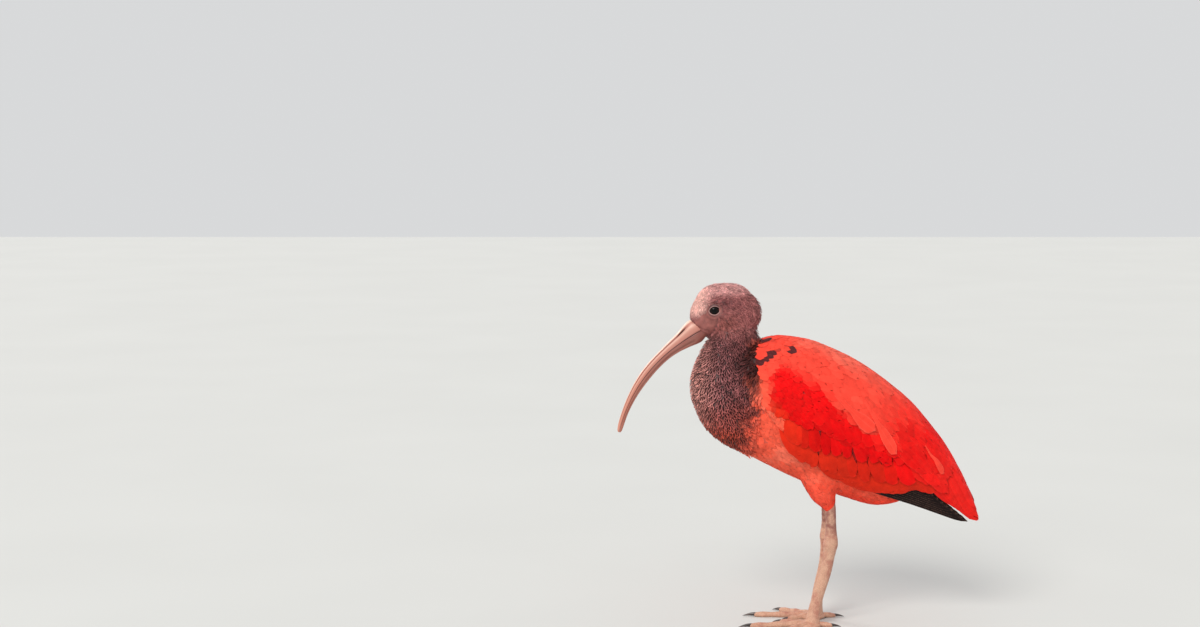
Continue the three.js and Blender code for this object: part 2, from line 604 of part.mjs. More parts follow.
function claw(spec, frame) {
  const rings = [];
  for (let i = 0; i <= 4; i += 1) {
    const t = i / 4;
    const centre = frame.root.clone().addScaledVector(frame.ahead, spec.length + GAP + spec.claw * t);
    centre.z = spec.tip * (0.95 + 0.4 * t - 1.1 * t * t);
    const radius = spec.tip * 0.82 * (1 - 0.86 * t ** 1.4);
    rings.push(ovalRing(6, centre, new THREE.Vector3(0, 0, 1), frame.across, radius, radius, radius * 0.8));
  }
  return solidFromRings(rings);
}

// Keeps what lies between two heights, half a gap inside each
function between(solid, low, high) {
  return solid.trimByPlane([0, 0, 1], low + GAP / 2).trimByPlane([0, 0, -1], GAP / 2 - high);
}

function aboveGround(solid) {
  return solid.trimByPlane([0, 0, 1], 0);
}

const bird = new THREE.Group();
bird.position.x = MIDDLE_X;

function addNode(name, solid, colour, roughness = 0.75) {
  const piece = largest(solid).getMesh();
  const geometry = new THREE.BufferGeometry();
  const positions = [];
  for (let i = 0; i < piece.vertProperties.length; i += piece.numProp) {
    positions.push(...piece.vertProperties.slice(i, i + 3));
  }
  geometry.setAttribute('position', new THREE.Float32BufferAttribute(positions, 3));
  geometry.setIndex(Array.from(piece.triVerts));
  const material = new THREE.MeshStandardMaterial({ color: colour, roughness, metalness: 0 });
  const mesh = new THREE.Mesh(geometry, material);
  mesh.name = name;
  bird.add(mesh);
}

// Head, neck and trunk are one form, parted by thin cuts
function addBody() {
  const headForm = limb(HEAD, HEAD_SECTIONS, HEAD_SIDES);
  const neckForm = limb(NECK, NECK_SECTIONS, NECK_SIDES);
  const sockets = eyeball(1, SOCKET_CLEAR).add(eyeball(-1, SOCKET_CLEAR)).add(gape());
  const billRoot = billHalf(true, GAP).add(billHalf(false, GAP));
  const face = headForm.add(neckForm).add(lid(1)).add(lid(-1)).subtract(sockets).subtract(billRoot);
  addNode('head', above(face, NAPE_CUT, false).subtract(trunk(GAP)), COLOURS.skin);
  const low = trunk().add(below(neckForm, NAPE_CUT, false));
  addNode('neck', below(below(low, NAPE_CUT, false), BIB_CUT, true), COLOURS.plum);
  const clearHead = limb(HEAD, HEAD_SECTIONS, HEAD_SIDES, GAP);
  addNode('torso', above(low, BIB_CUT, true).subtract(clearHead), COLOURS.rose);
}

function addBill() {
  const upper = billHalf(true).subtract(nostril(1)).subtract(nostril(-1));
  addNode('bill_upper', upper, COLOURS.horn, 0.45);
  addNode('bill_lower', billHalf(false), COLOURS.horn, 0.45);
}

function addSide(name, side) {
  addNode(`${name}_eye`, eyeball(side), COLOURS.eye, 0.1);
  const thigh = leg(THIGH, side).subtract(trunk(GAP));
  addNode(`${name}_thigh`, between(thigh, KNEE_HEM, 300), COLOURS.rose);
  addNode(`${name}_shank`, between(leg(SHANK, side), HOCK, KNEE_HEM), COLOURS.leg, 0.6);
  const tarsus = leg(TARSUS, side);
  addNode(`${name}_tarsus`, aboveGround(between(tarsus, -10, HOCK).add(footPad(side))), COLOURS.leg, 0.6);
  const seed = side > 0 ? 71 : 35;
  const wing = wasm.Manifold.union([wingCore(), ...feathers(seed)]).trimByPlane([0, 1, 0], GAP / 2);
  const cleared = mirrored(wing.subtract(primariesSheath()).subtract(tailSheath()), side);
  addNode(`${name}_wing`, cleared.subtract(trunk(GAP)).subtract(leg(THIGH, side, GAP)), COLOURS.scarlet);
  const dark = mirrored(primaries().subtract(tailSheath()), side).subtract(trunk(GAP));
  addNode(`${name}_primaries`, dark, COLOURS.black);
  const foot = leg(TARSUS, side, GAP).add(footPad(side, GAP));
  TOES.forEach((spec) => {
    const frame = toe(spec, side);
    addNode(`${name}_${spec.name}`, aboveGround(frame.solid.subtract(foot)), COLOURS.leg, 0.6);
    const clawName = `${name}_${spec.name.replace('toe', 'claw')}`;
    addNode(clawName, aboveGround(claw(spec, frame)), COLOURS.claw, 0.4);
  });
}

addBody();
addBill();
addNode('tail', tail().subtract(trunk(GAP)), COLOURS.scarlet);
addSide('left', -1);
addSide('right', 1);

export default bird;
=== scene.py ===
"""A standing scarlet ibis: skin, feathers, bill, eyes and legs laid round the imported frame."""
import math

import bmesh
import bpy
import numpy as np
from mathutils import Matrix, Vector, kdtree
from mathutils.bvhtree import BVHTree


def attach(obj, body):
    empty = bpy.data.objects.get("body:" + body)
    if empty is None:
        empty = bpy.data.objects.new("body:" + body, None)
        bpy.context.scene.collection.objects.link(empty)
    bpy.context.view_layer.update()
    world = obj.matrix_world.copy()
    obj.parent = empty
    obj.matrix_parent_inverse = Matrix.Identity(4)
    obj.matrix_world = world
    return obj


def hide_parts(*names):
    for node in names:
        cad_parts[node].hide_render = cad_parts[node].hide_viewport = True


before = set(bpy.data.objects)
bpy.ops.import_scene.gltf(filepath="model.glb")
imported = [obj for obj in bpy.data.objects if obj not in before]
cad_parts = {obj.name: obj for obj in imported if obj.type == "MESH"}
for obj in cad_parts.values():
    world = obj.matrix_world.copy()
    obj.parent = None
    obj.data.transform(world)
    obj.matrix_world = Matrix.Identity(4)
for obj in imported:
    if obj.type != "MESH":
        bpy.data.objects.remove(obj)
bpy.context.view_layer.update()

# Places below are millimetres from the ground point between the feet, as the solids have them:
# x towards the tail, y to the bird's right and z up. place() moves them into the frame in metres.
MM = 0.001
MIDDLE_X = 19.3
BODY_TILT = math.radians(31)
TILT_COS, TILT_SIN = math.cos(BODY_TILT), math.sin(BODY_TILT)
RNG = np.random.default_rng(20)

# The dressed body and the trunk, as places along the trunk and heights across it
BACK_LINE = [(-206, 227), (-190, 240), (-150, 254.6), (-105, 259), (-53, 254.6), (7.5, 236), (44, 217),
             (74, 197), (88, 187)]
BELLY_LINE = [(-206, 117), (-160, 114), (-92, 119.6), (-37, 129.4), (0, 147), (11, 160), (36, 165), (88, 172)]
SIDE_LINE = [(-206, 38), (-190, 47), (-160, 56), (-120, 60), (-80, 57), (-50, 51), (-20, 44), (10, 36),
             (40, 26), (65, 17), (88, 9)]
SIDE_FULLNESS = 0.94
TRUNK_TOP = [(-220, 186), (-214, 206), (-206, 223), (-190, 238), (-170, 244), (-140, 247), (-105, 250),
             (-53, 245), (-20, 235), (0, 222), (16, 205), (36, 200)]
TRUNK_BOTTOM = [(-220, 142), (-214, 124), (-206, 117), (-188, 113), (-160, 114), (-115, 117), (-92, 119.6),
                (-37, 129.4), (-16, 135.6), (1, 147), (16, 166), (36, 184)]
TRUNK_SIDE = [(-220, 15), (-214, 25), (-206, 33), (-190, 41), (-160, 49), (-120, 51), (-80, 48), (-50, 42),
              (-20, 34), (0, 25), (16, 15), (36, 7)]
WING_LOWER = [(-196, 190), (-192, 181), (-185, 174), (-156, 163), (-121, 153), (-107, 152), (-87, 152),
              (-56, 155), (-36, 159), (12, 170), (40, 176)]
WING_UPPER = [(-196, 206), (-193, 214), (-187, 225), (-170, 244), (-150, 253.6), (-105, 258.2), (-53, 253.8),
              (12, 232), (40, 216)]

# Rows of x, z, depth ahead or above, depth behind or below, and half width
NECK = [(-55, 196, 20, 20, 42), (-80, 207, 24, 34, 45), (-97, 228, 29, 40, 43), (-101, 250, 32, 37, 36),
        (-96, 272, 30, 33, 27), (-87.5, 293, 27, 26, 20.5), (-84.5, 308, 24, 23.5, 17), (-84, 321, 14, 13, 9)]
HEAD = [(-124.6, 311.6, 12.4, 15.6, 9.6), (-115, 321.5, 22.6, 22.5, 13.4), (-104, 327, 30, 25, 16.8),
        (-90.5, 328, 29.6, 26, 17.2), (-79, 324.5, 24, 24, 15.2), (-68.5, 318.5, 16, 17, 11),
        (-63, 315, 6, 6, 4)]
THIGH = [(6, 172, 27, 27, 20), (4, 156, 24, 24, 18), (5, 142, 17, 17, 14), (9.5, 130, 10.4, 10.4, 9.4),
         (12.4, 122, 6.8, 6.8, 6.6), (13.1, 112, 5.4, 5.4, 5.4)]
LEG_SIDE = 19
RIGHT_BACK = 8
HOCK = 93.2
EYE = (-108.2, 12.2, 330)
EYE_RADIUS = 5.6
LID = dict(wide=5.15, tall=4.05, tilt=math.radians(10), corners=1.8)

# How deep the skin lies under the dressed form
COAT_TRUNK = 1.9
COAT_NECK = 2.6
COAT_HEAD = 0.9
COAT_THIGH = 2.2
VOXEL = 1.56


def srgb(r, g, b):
    """A colour seen as r, g, b of 255, as the linear values a shader takes."""
    values = np.array([r, g, b]) / 255
    return np.where(values < 0.04045, values / 12.92, ((values + 0.055) / 1.055) ** 2.4)


SCARLET = srgb(232, 7, 11)
DEEP_RED = srgb(206, 3, 4)
CORAL = srgb(246, 70, 54)
SALMON = srgb(244, 92, 68)
PALE_SALMON = srgb(240, 132, 108)
ORANGE = srgb(218, 44, 20)
VERMILION = srgb(242, 32, 27)
THIGH_RED = srgb(244, 60, 40)
PLUM = srgb(44, 20, 24)
PLUM_FRINGE = srgb(172, 108, 109)
BROWN = srgb(58, 21, 17)
BROWN_FRINGE = srgb(206, 82, 60)
# Painted shade for the hollow between the neck and the shoulder
HOLLOW_SHADE = srgb(54, 14, 15)
# Painted light on the feathers' edges over the top of the crown and the forehead
CROWN_LIT = srgb(248, 190, 186)
CROWN_DARK = srgb(92, 44, 50)
NAPE_FRINGE = srgb(192, 120, 116)
FOREHEAD = srgb(250, 206, 194)
CHEEK = srgb(168, 100, 93)
BLUSH = srgb(166, 97, 90)
FACE = srgb(128, 72, 67)
BLACK = srgb(30, 20, 20)


def profile(points):
    """A smooth line through (place, value) pairs that never overshoots them."""
    place, value = np.array(points, float).T
    steps = np.diff(value) / np.diff(place)
    product, total = steps[:-1] * steps[1:], steps[:-1] + steps[1:]
    total = np.where(np.abs(total) < 1e-9, 1e-9, total)
    slopes = np.concatenate([steps[:1], np.where(product > 0, 2 * product / total, 0), steps[-1:]])

    def line(x):
        x = np.asarray(x, float)
        i = np.clip(np.searchsorted(place, x) - 1, 0, len(place) - 2)
        span = place[i + 1] - place[i]
        t = np.clip((x - place[i]) / span, 0, 1)
        rise = value[i] * (1 + 2 * t) * (1 - t) ** 2 + value[i + 1] * t * t * (3 - 2 * t)
        return rise + span * (slopes[i] * t * (1 - t) ** 2 - slopes[i + 1] * t * t * (1 - t))

    return line


def ramp(x, low, high):
    """Rises smoothly from 0 at low to 1 at high."""
    t = np.clip((np.asarray(x, float) - low) / (high - low), 0, 1)
    return t * t * (3 - 2 * t)


def lattice(cells):
    """A repeatable number between 0 and 1 for each whole-numbered cell."""
    mixed = cells[..., 0] * 374761393 + cells[..., 1] * 668265263 + cells[..., 2] * 2147483647
    mixed = (mixed ^ (mixed >> 13)) * 1274126177
    return ((mixed ^ (mixed >> 16)) & 0xFFFF) / 65535


def noise(points, size, seed=0):
    """Smooth noise between 0 and 1 over places, with lumps of that size."""
    p = np.asarray(points, float) / size + 31.7 * seed
    cell = np.floor(p).astype(np.int64)
    t = p - cell
    t = t * t * (3 - 2 * t)
    total = np.zeros(p.shape[:-1])
    for corner in range(8):
        offset = np.array([corner & 1, corner >> 1 & 1, corner >> 2 & 1])
        weight = np.prod(np.where(offset == 1, t, 1 - t), axis=-1)
        total += weight * lattice(cell + offset)
    return total


def mix(a, b, share):
    share = np.asarray(share)[..., None]
    return a * (1 - share) + b * share


def unit(v):
    return v / np.maximum(np.linalg.norm(v, axis=-1, keepdims=True), 1e-9)

def bell(x, size):
    """1 where x is 0, fading out on both sides of it."""
    return np.exp(-(x / size) ** 2)


def trunk_point(s, h, y):
    """A place given along the trunk, across it and to the side."""
    s, h, y = np.broadcast_arrays(np.asarray(s, float), h, y)
    return np.stack([s * TILT_COS + h * TILT_SIN, y, h * TILT_COS - s * TILT_SIN], axis=-1)


def along_trunk(points):
    """How far along the trunk and across it places lie."""
    x, z = points[..., 0], points[..., 2]
    return x * TILT_COS - z * TILT_SIN, x * TILT_SIN + z * TILT_COS


def place(points):
    """Millimetres from the ground point between the feet to metres in the frame."""
    return (np.asarray(points, float) + [MIDDLE_X, 0, 0]) * MM


def read(items, what, kind=float, wide=3):
    """One value of every vertex, edge, corner or triangle of a mesh, that many numbers wide."""
    values = np.empty(len(items) * wide, kind)
    items.foreach_get(what, values)
    return values.reshape(-1, wide)


def places(mesh):
    """The vertices of a mesh in millimetres from the ground point."""
    return read(mesh.vertices, "co") / MM - [MIDDLE_X, 0, 0]


def add_object(name, data):
    piece = bpy.data.objects.new(name, data)
    bpy.context.collection.objects.link(piece)
    return piece


def shade_smooth(mesh):
    mesh.polygons.foreach_set("use_smooth", np.full(len(mesh.polygons), True))


def make_mesh(name, points, faces):
    """A mesh object of places in millimetres and faces of three or four corners."""
    mesh = bpy.data.meshes.new(name)
    points = place(points)
    if isinstance(faces, np.ndarray):
        mesh.vertices.add(len(points))
        mesh.vertices.foreach_set("co", points.ravel())
        mesh.loops.add(faces.size)
        mesh.loops.foreach_set("vertex_index", faces.ravel())
        mesh.polygons.add(len(faces))
        mesh.polygons.foreach_set("loop_start", np.arange(len(faces)) * faces.shape[1])
        mesh.update(calc_edges=True)
        mesh.validate()
    else:
        mesh.from_pydata([tuple(p) for p in points], [], faces)
        mesh.update()
    shade_smooth(mesh)
    return add_object(name, mesh)


def with_ends(rings):
    """The rows of all rings, and after them the middle of the first ring and of the last."""
    rings = np.asarray(rings)
    return np.concatenate([rings.reshape(-1, 3), rings[0].mean(0)[None], rings[-1].mean(0)[None]])


def loft(rings):
    """Points and faces of a closed form through rings of equally many points."""
    count, sides = np.shape(rings)[:2]
    first, last = count * sides, count * sides + 1
    faces = []
    for start in range(0, first - sides, sides):
        for i in range(sides):
            j = (i + 1) % sides
            faces.append((start + i, start + j, start + sides + j, start + sides + i))
    for i in range(sides):
        j = (i + 1) % sides
        faces += [(first, j, i), (last, first - sides + i, first - sides + j)]
    return with_ends(rings), faces


def oval(sides, centre, up, side, above, below, half, power=1.0):
    angle = 2 * np.pi * np.arange(sides) / sides
    across = np.sign(np.cos(angle)) * np.abs(np.cos(angle)) ** power * half
    height = np.sign(np.sin(angle)) * np.abs(np.sin(angle)) ** power
    rise = np.where(height > 0, height * above, height * below)
    return centre + across[:, None] * side + rise[:, None] * up


SIDEWAYS = np.array([0.0, 1.0, 0.0])
UP = np.array([0.0, 0.0, 1.0])


def set_back(side, z):
    """How far behind the left leg the right one stands at a height. A side is -1, 1 or 0 for the middle."""
    return RIGHT_BACK * np.clip(1 - z / HOCK, 0, 1) if side > 0 else 0


def limb(table, sections, sides, shrink=0.0, side=0):
    """A form through rows of x, z, depth ahead, depth behind and half width, along its own path."""
    lines = [profile(list(enumerate(column))) for column in zip(*table)]
    last = len(table) - 1
    rings = []
    for i in range(sections + 1):
        t = last * i / sections
        x, z, *depths = [float(line(t)) for line in lines]
        before, after = max(t - 0.05, 0), min(t + 0.05, last)
        run, rise = [line(after) - line(before) for line in lines[:2]]
        run, _, rise = unit(np.array([run, 0, rise]))
        centre = np.array([x + set_back(side, z), side * LEG_SIDE, z])
        depths = [depth - shrink for depth in depths]
        rings.append(oval(sides, centre, np.array([-rise, 0, run]), SIDEWAYS, *depths))
    return loft(rings)


back_line = profile(BACK_LINE)
belly_line = profile(BELLY_LINE)
side_line = profile(SIDE_LINE)


def wing_point(s, angle, depth):
    """The wing's outer face on the bird's right, by place along the trunk, angle round it and depth below."""
    s, angle, depth = np.broadcast_arrays(np.asarray(s, float), angle, depth)
    middle = (back_line(s) + belly_line(s)) / 2
    half = (back_line(s) - belly_line(s)) / 2
    side = side_line(s)
    cosine, sine = np.cos(angle), np.sin(angle)
    out_y, out_h = cosine / side, sine / half
    length = np.hypot(out_y, out_h)
    y = np.sign(cosine) * np.abs(cosine) ** SIDE_FULLNESS * side - out_y / length * depth
    h = middle + np.sign(sine) * np.abs(sine) ** SIDE_FULLNESS * half - out_h / length * depth
    return trunk_point(s, h, y)


def wing_angle(s, h):
    """The angle round the trunk at which the outer face has a height."""
    middle = (back_line(s) + belly_line(s)) / 2
    rise = np.clip((h - middle) / ((back_line(s) - belly_line(s)) / 2), -1, 1)
    return np.arcsin(np.sign(rise) * np.abs(rise) ** (1 / SIDE_FULLNESS))

# Camera, light and floor

CAMERA_PLACE = (-225.75, -2059.285, 523.71)
CAMERA_PITCH = math.radians(5.5)
LENS = 60
SENSOR = 36
SKY = (0.93, 0.94, 0.95, 1)
SKY_STRENGTH = 0.74
# Even lights: where they come from, strength, softness in degrees and colour
SUNS = dict(key=((-0.5, -0.95, 0.85), 2.0, 28, (1, 0.96, 0.9)),
            rim=((-1.0, 0.9, 0.7), 0.9, 20, (1, 0.98, 0.95)))
FLOOR = [(-6000, -5000, 0), (6000, -5000, 0), (6000, 7000, 0), (-6000, 7000, 0)]


def add_camera():
    data = bpy.data.cameras.new("camera")
    data.lens = LENS
    data.sensor_width = SENSOR
    camera = add_object("camera", data)
    camera.location = place(CAMERA_PLACE)
    camera.rotation_euler = (math.pi / 2 - CAMERA_PITCH, 0, 0)
    bpy.context.scene.camera = camera


def add_studio():
    world = bpy.data.worlds.new("studio")
    bpy.context.scene.world = world
    world.use_nodes = True
    sockets = world.node_tree.nodes["Background"].inputs
    sockets[0].default_value = SKY
    sockets[1].default_value = SKY_STRENGTH
    for name, (way, strength, softness, colour) in SUNS.items():
        data = bpy.data.lights.new(name, "SUN")
        data.energy = strength
        data.angle = math.radians(softness)
        data.color = colour
        add_object(name, data).rotation_euler = Vector(way).to_track_quat("Z", "Y").to_euler()
    floor = make_mesh("floor", FLOOR, [(0, 1, 2, 3)])
    floor.data.materials.append(floor_material())
    bpy.context.scene.view_settings.view_transform = "Standard"


# Materials

class Look:
    """One material, with short calls for its nodes."""

    def __init__(self, name, roughness):
        self.material = bpy.data.materials.new(name)
        self.material.use_nodes = True
        self.tree = self.material.node_tree
        self.shader = self.tree.nodes["Principled BSDF"].inputs
        self.shader["Roughness"].default_value = roughness

    def add(self, kind, **settings):
        node = self.tree.nodes.new(kind)
        for key, value in settings.items():
            setattr(node, key, value)
        return node

    def link(self, source, target):
        self.tree.links.new(source, target)

    def put(self, sockets, *values):
        """Gives each socket a link, a colour, a row of numbers or one number."""
        for socket, value in zip(sockets, values):
            if hasattr(value, "is_output"):
                self.link(value, socket)
            elif np.ndim(value):
                socket.default_value = [float(v) for v in value] + [1.0] * (socket.type == "RGBA")
            else:
                socket.default_value = float(value)

    def fill(self, sockets, **values):
        """Sets sockets by name, with _ where the name has a blank."""
        for name, value in values.items():
            self.put([sockets[name.replace("_", " ")]], value)

    def math(self, operation, a, b=0.0):
        node = self.add("ShaderNodeMath", operation=operation)
        self.put(node.inputs, a, b)
        return node.outputs[0]

    def plus(self, a, b):
        return self.math("ADD", a, b)

    def minus(self, a, b):
        return self.math("SUBTRACT", a, b)

    def times(self, a, b):
        return self.math("MULTIPLY", a, b)

    def mix(self, share, a, b, blend="MIX"):
        node = self.add("ShaderNodeMix", data_type="RGBA", blend_type=blend)
        self.put([node.inputs["Factor"], node.inputs[6], node.inputs[7]], share, a, b)
        return node.outputs[2]

    def steps(self, value, low, high, to_low=0.0, to_high=1.0):
        node = self.add("ShaderNodeMapRange", interpolation_type="SMOOTHSTEP")
        self.put(node.inputs, value, low, high, to_low, to_high)
        return node.outputs[0]

    def noise(self, scale, detail=2.0, vector=None):
        node = self.add("ShaderNodeTexNoise")
        self.fill(node.inputs, Vector=vector or self.where(), Scale=scale, Detail=detail)
        return node.outputs["Fac"]

    def cells(self, scale, vector=None, feature="F1"):
        node = self.add("ShaderNodeTexVoronoi", feature=feature)
        self.fill(node.inputs, Vector=vector or self.where(), Scale=scale)
        return node.outputs["Distance"]

    def where(self):
        return self.add("ShaderNodeTexCoord").outputs["Object"]

    def stretched(self, factors):
        node = self.add("ShaderNodeMapping")
        self.fill(node.inputs, Vector=self.where(), Scale=factors)
        return node.outputs[0]

    def attribute(self, name):
        return self.add("ShaderNodeAttribute", attribute_name=name).outputs["Color"]

    def split(self, vector):
        node = self.add("ShaderNodeSeparateXYZ")
        self.link(vector, node.inputs[0])
        return node.outputs

    def tints(self, share):
        """From the piece's own Tint to its Fringe."""
        return self.mix(share, self.attribute("Tint"), self.attribute("Fringe"))

    def finish(self, colour, height=None, strength=0, distance=0, **values):
        """Sets the colour, the relief and other values of the shader, and returns the material."""
        if height is not None:
            node = self.add("ShaderNodeBump")
            self.fill(node.inputs, Height=height, Strength=strength, Distance=distance)
            values["Normal"] = node.outputs[0]
        self.fill(self.shader, Base_Color=colour, **values)
        return self.material


def floor_material():
    n = Look("floor", 0.8)
    return n.finish(n.mix(n.noise(3.0), srgb(204, 205, 203), srgb(210, 211, 209)))


def feather_material(name, roughness, barbs, edge_low, edge_high, shaft=0.0, sheen=0.0, grain=0.08):
    """Feathers take their colours from Tint and Fringe. Vane runs across and along each feather."""
    n = Look(name, roughness)
    across, along = n.split(n.add("ShaderNodeUVMap", uv_map="Vane").outputs[0])[:2]
    out = n.math("ABSOLUTE", n.minus(n.times(across, 2), 1))
    far = n.times(along, n.times(along, along))
    wobble = n.times(n.minus(n.noise(1100), 0.5), 0.5)
    colour = n.tints(n.steps(n.plus(n.math("MAXIMUM", out, far), wobble), edge_low, edge_high))
    slant = n.minus(n.times(along, barbs), n.times(out, barbs * 0.4))
    ridges = n.math("SINE", n.plus(slant, n.times(n.noise(400, 1), 5)))
    cloud = n.steps(n.noise(150, 3), 0.25, 0.75, 0.9, 1.1)
    shade = n.times(n.steps(ridges, -1, 1, 1 - grain, 1 + grain), cloud)
    grey = n.add("ShaderNodeCombineColor")
    n.put(grey.inputs, shade, shade, shade)
    colour = n.mix(1.0, colour, grey.outputs[0], "MULTIPLY")
    if shaft:
        colour = n.mix(n.steps(out, 0.02, 0.1, shaft, 0.0), colour, n.attribute("Fringe"))
    return n.finish(colour, ridges, 0.3, 0.0002, Sheen_Weight=sheen, Specular_IOR_Level=0.08)


def skin_material():
    """Bare skin of the face, finely pebbled, and the ground colour under the feathers."""
    n = Look("skin", 0.55)
    fine = n.noise(900, 3)
    pebbles = n.plus(n.times(n.cells(1300), 0.6), fine)
    return n.finish(n.tints(n.steps(fine, 0.3, 0.7, 0, 0.35)), pebbles, 0.35, 0.0004, Subsurface_Weight=0.06,
                    Subsurface_Radius=(0.003, 0.001, 0.0008))


def bill_material():
    """Horn: a painted highlight along the ridge, painted shade in the grooves, warmer and browner towards the
    tip and the mouth.
    """
    n = Look("bill", 0.38)
    streaks = n.noise(260, 4, n.attribute("Grain"))
    fine = n.noise(1400, 2, n.attribute("Grain"))
    return n.finish(n.tints(n.steps(streaks, 0.3, 0.72)), n.plus(streaks, n.times(fine, 0.4)), 0.25, 0.0003,
                    Roughness=n.steps(fine, 0.3, 0.7, 0.3, 0.46), Subsurface_Weight=0.05,
                    Subsurface_Radius=(0.002, 0.001, 0.0008))


def leg_material():
    """Small scales over pink skin, darker between them."""
    n = Look("leg", 0.5)
    gaps = n.steps(n.cells(860, n.stretched((1, 1, 0.75)), "DISTANCE_TO_EDGE"), 0.02, 0.2)
    ground = n.tints(n.steps(n.noise(240, 3), 0.35, 0.7))
    colour = n.mix(gaps, n.mix(0.3, ground, srgb(120, 66, 60)), ground)
    return n.finish(colour, n.plus(gaps, n.times(n.noise(1500), 0.3)), 0.5, 0.0003, Subsurface_Weight=0.05,
                    Subsurface_Radius=(0.003, 0.001, 0.0008))


def claw_material():
    n = Look("claw", 0.3)
    grain = n.noise(500, 3, n.stretched((0.3, 1, 1)))
    return n.finish(n.mix(n.steps(grain, 0.3, 0.7), srgb(48, 42, 42), srgb(98, 84, 80)), grain, 0.2, 0.0002)


def eye_material():
    """Dark brown iris round a black pupil, by the distance from the eye's own axis."""
    n = Look("eye", 0.04)
    here = n.split(n.where())
    sides = [n.minus(here[axis], place(EYE)[axis]) for axis in (0, 2)]
    away = n.math("SQRT", n.plus(*[n.times(side, side) for side in sides]))
    iris = n.mix(n.steps(n.noise(1800, 3), 0.35, 0.65), srgb(14, 8, 7), srgb(26, 15, 11))
    colour = n.mix(n.steps(away, 0.0024, 0.0027), srgb(5, 4, 4), iris)
    colour = n.mix(n.steps(away, 0.0042, 0.0048), colour, srgb(20, 13, 12))
    return n.finish(colour, Specular_IOR_Level=0.08, Coat_Weight=0.15, Coat_Roughness=0.02)


def paint(piece, name, colours):
    """Stores a colour for each vertex."""
    colours = np.concatenate([colours, np.ones((len(colours), 1))], axis=1)
    layer = piece.data.attributes.new(name, "FLOAT_COLOR", "POINT")
    layer.data.foreach_set("color", colours.astype(np.float32).ravel())


def dress_up(piece, material, tint, fringe):
    """Gives a piece its colours and its material."""
    paint(piece, "Tint", tint)
    paint(piece, "Fringe", fringe)
    piece.data.materials.append(MATERIALS[material])
    return piece


# Colours of the coat by place

def turned(points, x, z, degrees):
    """Distances from a place in side view, along and across a way turned by that much."""
    dx, dz, turn = points[..., 0] - x, points[..., 2] - z, math.radians(degrees)
    return dx * math.cos(turn) + dz * math.sin(turn), dz * math.cos(turn) - dx * math.sin(turn)


def spot(points, x, z, wide, tall, degrees=0):
    """1 at a place in side view, fading out over so much along and across."""
    a, b = turned(points, x, z, degrees)
    return np.exp(-((a / wide) ** 2 + (b / tall) ** 2))


def from_eye(points):
    return np.hypot(points[..., 0] - EYE[0], points[..., 2] - EYE[2])


def above_gape(points):
    """How high over the fold that runs back from the bill's mouth."""
    return points[..., 2] - 308.9 + 0.42 * (points[..., 0] + 118)


def bare_share(points):
    """1 on the bare skin of the lores, the eye ring and the gape, 0 on the feathers."""
    a, b = turned(points, -117.5, 314.5, 50)
    lores = np.sqrt((a / 16.5) ** 2 + (b / 10) ** 2)
    ragged = 0.3 * (noise(points, 2.6, 5) - 0.5)
    return 1 - ramp(np.minimum(lores, from_eye(points) / 7.0) + ragged, 0.84, 1.14)


def neck_line(z):
    """How far back the dark plumage of the neck and breast reaches at a height."""
    return -68 + 0.13 * (z - 232) - 0.0012 * np.clip(236 - z, 0, 60) ** 2


def body_colours(points):
    """The colour of the feathers on the skin, and the colour of their edges."""
    x, z = points[..., 0], points[..., 2]
    cloud = noise(points, 15, 1)
    fine = noise(points, 4, 2)
    low = 1 - ramp(z + 10 * (cloud - 0.5), 120, 175)
    tint = mix(SALMON, THIGH_RED, low * ramp(x, -50, -10))
    tint = mix(tint, PALE_SALMON, 0.4 * ramp(cloud + 0.3 * fine, 0.6, 0.95) * (1 - 0.7 * ramp(x, -30, 10)))
    fringe = mix(tint, PALE_SALMON, 0.25)
    neck = 1 - ramp(x - neck_line(z) + 14 * (cloud - 0.5) + 18 * (fine - 0.5), -13, 7)
    neck = np.where(z > 300, 1, neck)
    lower = 1 - ramp(z + 14 * (cloud - 0.5), 200, 246)
    plum = mix(PLUM, BROWN, lower * 0.9)
    edge = mix(PLUM_FRINGE, BROWN_FRINGE, lower)
    # Painted rim light: the feathers' edges along the front of the neck are painted pale, less so lower down
    edge = mix(edge, srgb(236, 164, 152), 0.85 * ramp(-x, 100, 130) * (1 - 0.6 * lower))
    edge = mix(edge, srgb(126, 62, 60), 0.55 * ramp(x, -102, -78))
    clump = (0.6 + 0.62 * noise(points, 4.5, 15))[..., None]
    # Painted shade: the hollow between the neck and the shoulder is painted near black, and the feathers'
    # edges there dark brown
    painted_hollow_shade = np.clip(spot(points, -70, 272, 9, 22) * 1.4, 0, 1)
    tint = mix(mix(tint, plum * clump, neck), HOLLOW_SHADE, painted_hollow_shade)
    fringe = mix(mix(fringe, edge * clump, neck), BROWN, painted_hollow_shade * 0.85)
    brown = dark_patches(points)
    return mix(tint, srgb(78, 34, 36), brown), mix(fringe, srgb(140, 76, 70), brown)


